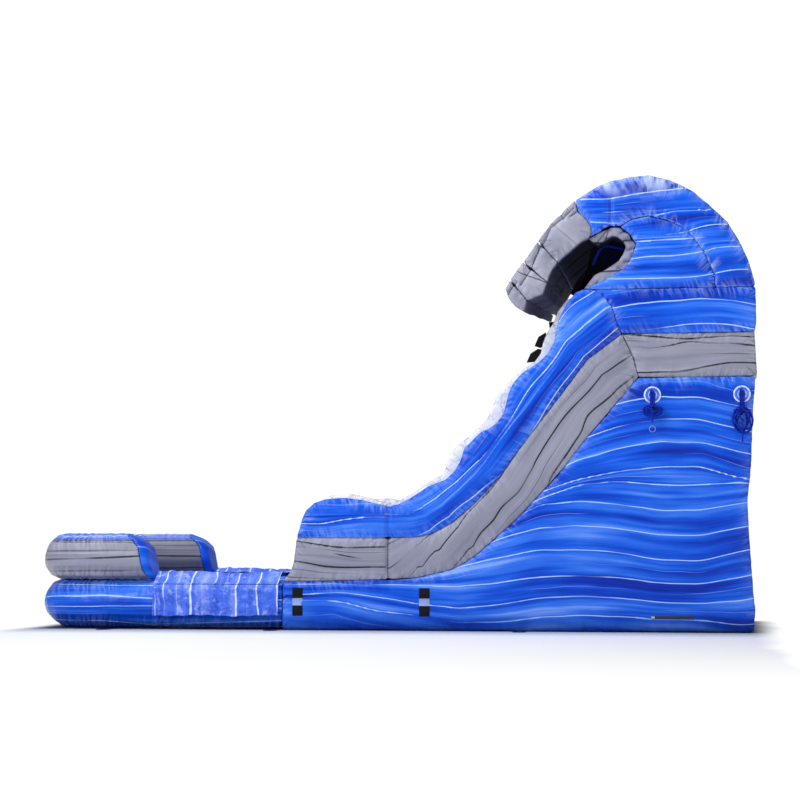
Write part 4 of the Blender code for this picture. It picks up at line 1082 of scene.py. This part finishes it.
net_look = netting()
net_tape = woven("black_net_binding", (0.002, 0.002, 0.004), (0.010, 0.010, 0.016), 0.004)
NET = [
    (1.460, 2.640), (1.600, 2.720), (1.760, 2.950), (1.920, 3.200), (2.200, 3.360), (2.500, 3.560), (2.620, 3.780),
    (2.580, 3.960), (2.420, 4.030), (2.220, 3.990), (2.060, 3.900), (2.000, 3.620), (1.900, 3.420), (1.735, 3.200),
    (1.575, 2.920),
]
NET_EDGE = [(2.08, 3.73), (2.105, 3.80), (2.14, 3.87), (2.18, 3.92), (2.24, 3.925), (2.31, 3.905), (2.39, 3.89)]
NET_TRIMS = [
    [(1.471, 2.902), (1.512, 2.997), (1.588, 3.044), (1.62, 2.93), (1.532, 2.881)],
    [(1.388, 2.732), (1.43, 2.827), (1.505, 2.874), (1.60, 2.86), (1.50, 2.74)],
    [(1.619, 3.147), (1.677, 3.153), (1.70, 3.07), (1.632, 3.064)],
    [(1.684, 3.235), (1.705, 3.241), (1.752, 3.152), (1.711, 3.138)],
    [(1.842, 3.435), (1.90, 3.56), (2.06, 3.74), (2.08, 3.50), (1.97, 3.375)],
]


def panel(title, corners, y):
    """One flat face at a place across the slide."""
    return from_points(title, [(x, y, z) for x, z in corners], [tuple(range(len(corners)))])


for side, sign in SIDES:
    name = "safety_net_" + side
    low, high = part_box(name)
    level = (low.y + high.y) / 2
    net = panel("net_" + side, NET, level)
    work = bmesh.new()
    work.from_mesh(net.data)
    bmesh.ops.triangulate(work, faces=work.faces)
    bmesh.ops.subdivide_edges(work, edges=work.edges, cuts=5, use_grid_fill=True)
    flat_area = sum(f.calc_area() for f in work.faces)
    work.to_mesh(net.data)
    work.free()
    dress(net, net_look)
    stand_in(net, name)
    for number, corners in enumerate(NET_TRIMS):
        trim = panel(f"net_trim_{number}_{side}", corners, level - sign * 0.004)
        changed(trim, "SOLIDIFY", thickness=0.003, offset=0.0)
        dress(trim, net_tape)
        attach(trim, nodes[name]["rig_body"])
    edge = strand("net_edge_" + side, [(x, level + sign * 0.012, z) for x, z in NET_EDGE], 0.028, webbing, 4)
    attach(edge, nodes[name]["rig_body"])


# Sleeves: limp tubes that a blower fills.
SLEEVE, SLEEVE_LONG = 0.143, 0.478  # radius and length
for spot, x in (("front", 2.25), ("back", 2.95)):
    grid = []
    for r in range(25):
        share = r / 24
        row = []
        for c in range(97):
            turn = 2 * math.pi * c / 96
            crease = 0.006 * math.sin(turn * 7 + share * 3) * math.sin(math.pi * share)
            radius = SLEEVE + (crease + 0.004 * math.sin(share * 21 + turn * 2)) * 0.8
            y = HALF + 0.001 + SLEEVE_LONG * share
            row.append((x + radius * math.cos(turn), y, 0.15 + radius * math.sin(turn)))
        grid.append(row)
    sleeve = surface_sheet("sleeve_" + spot, grid, blue_vinyl, "inflation_sleeve_" + spot, 0.003)


# Clear patches, hook tape, zip and ring keep the frame's shapes, with their own finishes.
def clear_look():
    """Welded patches, each with the ring of its weld and a smaller one inside it."""
    made, tree, shader = fresh("clear_welded_patch")
    place, (x, _, z) = place_in(tree)
    middle, apart, height, outer, inner = 3.13, 0.44, 2.35, 0.078, 0.040
    off, up = abs(abs(x - middle) - apart), z - height
    square = off * off + up * up
    radius = square.math("POWER", square, 0.5)
    grain = noise(tree, place, 30.0)
    tone = blend_colour(tree, grain, (0.006, 0.060, 0.52), (0.06, 0.18, 0.84))
    rim = 1.0 - abs(radius - outer).ease(0.004, 0.010) + (1.0 - abs(radius - inner).ease(0.003, 0.008)) * 0.55
    tone = blend_colour(tree, rim * grain.ease(0.30, 0.50, 0.35, 0.95), tone, (0.62, 0.72, 0.92))
    plug(tree, shader, Base_Color=tone, Roughness=0.16, Normal=relief(tree, grain * 0.002 + rim * 0.001))
    return made


def tape_look():
    """Dark hook tape with a pale bar between its two pads."""
    made, tree, shader = fresh("hook_tape")
    place, (_, _, z) = place_in(tree)
    low, high = 0.250, 0.320
    middle = (z - low).ease(-0.004, 0.0) * (high - z).ease(-0.004, 0.0)
    hooks = noise(tree, place, 700.0, 1.0)
    dark = blend_colour(tree, hooks, (0.002, 0.002, 0.003), (0.014, 0.014, 0.017))
    tone = blend_colour(tree, middle, dark, (0.30, 0.38, 0.70))
    height = relief(tree, hooks * 0.0015)
    plug(tree, shader, Base_Color=tone, Roughness=0.85, Normal=height, Specular_IOR_Level=0.15)
    return made


def zip_look():
    """Fine teeth along the middle of the tape."""
    made, tree, shader = fresh("coil_zip")
    _, (x, _, z) = place_in(tree)
    pace, middle = 2100.0, 0.145
    teeth = (x * pace).sine() * (1.0 - (abs(z - middle) * 250.0).ease(0.7, 1.0))
    tone = blend_colour(tree, teeth * 0.4 + 0.3, (0.004, 0.008, 0.05), (0.04, 0.05, 0.12))
    plug(tree, shader, Base_Color=tone, Roughness=0.6, Normal=relief(tree, teeth * 0.0008))
    return made


def steel_look():
    """Brushed metal for the ring and the zip's slider."""
    made, tree, shader = fresh("brushed_steel")
    place, _ = place_in(tree)
    scratch = noise(tree, place, 220.0, 3.0)
    plug(tree, shader, Base_Color=(0.62, 0.62, 0.64), Metallic=1.0, Roughness=scratch * 0.25 + 0.18)
    return made


patch_look, tape, zipper, steel = clear_look(), tape_look(), zip_look(), steel_look()
for name in nodes:
    if name.startswith("anchor_patch"):
        remade(name, patch_look, 0.002)
    elif name.startswith("side_strap"):
        remade(name, tape, 0.001)
    elif name == "deflation_zip":
        remade(name, zipper, 0.0008)
    elif name in ("zip_slider", "tether_ring"):
        dress(nodes[name], steel)


# Studio: a floor with painted shade below and near the slide and a painted contact shadow at its front foot, which
# runs out into white, and soft light from above and in front.
floor_look, tree, shader = fresh("pale_floor")
place, (x, y, _) = place_in(tree)
wander = (noise(tree, place, 0.6) - 0.5) * 0.3
beside, behind, before = abs(x) - 3.7, y - 1.5, -1.5 - y
aside = beside.higher(behind) + wander
away = (aside * 3.0).higher(before + wander)
# Painted shade: the floor's colour is darker near the slide and lighter away from it.
tone = blend_colour(tree, away.ease(0.0, 1.2), (0.34, 0.37, 0.46), (0.76, 0.79, 0.86))
clear = aside.ease(-0.10, 0.28)
# Painted contact shadow along the slide's front foot.
contact_shadow = before.ease(0.03, 0.12, 0.88, 0.0) * (1.0 - clear)
tone = blend_colour(tree, contact_shadow, tone, (0.015, 0.02, 0.06))
plug(tree, shader, Base_Color=tone, Roughness=0.8)
white = node(tree, "ShaderNodeEmission", {}, {"Color": (1.0, 1.0, 1.0), "Strength": 1.04})
both = node(tree, "ShaderNodeMixShader", {}, {
    0: clear.higher((before + wander).ease(0.4, 8.5)), 1: Signal(tree, shader.outputs[0]), 2: white,
})
tree.links.new(both.socket, tree.nodes["Material Output"].inputs["Surface"])
bpy.ops.object.select_all(action="DESELECT")
bpy.ops.mesh.primitive_plane_add(size=400, location=(0, 0, -0.002))
floor = bpy.context.active_object
floor.name = "floor"
floor.data.materials.append(floor_look)

world = bpy.data.worlds.new("studio")
world.use_nodes = True
tree = world.node_tree
backdrop = tree.nodes["Background"]
backdrop.inputs["Color"].default_value = (1.0, 1.0, 1.0, 1.0)
seen = node(tree, "ShaderNodeLightPath", {}, {})
tree.links.new((seen * 0.78 + 0.26).socket, backdrop.inputs["Strength"])
bpy.context.scene.world = world

LAMPS = (  # name, place, aim, size and power
    ("top_softbox", (-2.0, -3.0, 9.5), (0.8, 0.0, 2.0), (7.0, 5.0), 720),
    ("front_softbox", (-7.0, -11.0, 6.5), (0.8, 0.0, 2.0), (4.0, 4.0), 820),
    ("right_fill", (9.0, -12.0, 4.0), (0.5, 0.0, 1.8), (6.0, 5.0), 260),
)
for name, place, aim, size, power in LAMPS:
    light = bpy.data.lights.new(name, "AREA")
    light.shape = "RECTANGLE"
    light.size, light.size_y = size
    light.energy = power
    lamp = linked(name, light)
    lamp.location = place
    lamp.rotation_euler = (Vector(aim) - Vector(place)).to_track_quat("-Z", "Y").to_euler()
bpy.context.scene.view_settings.view_transform = "Standard"
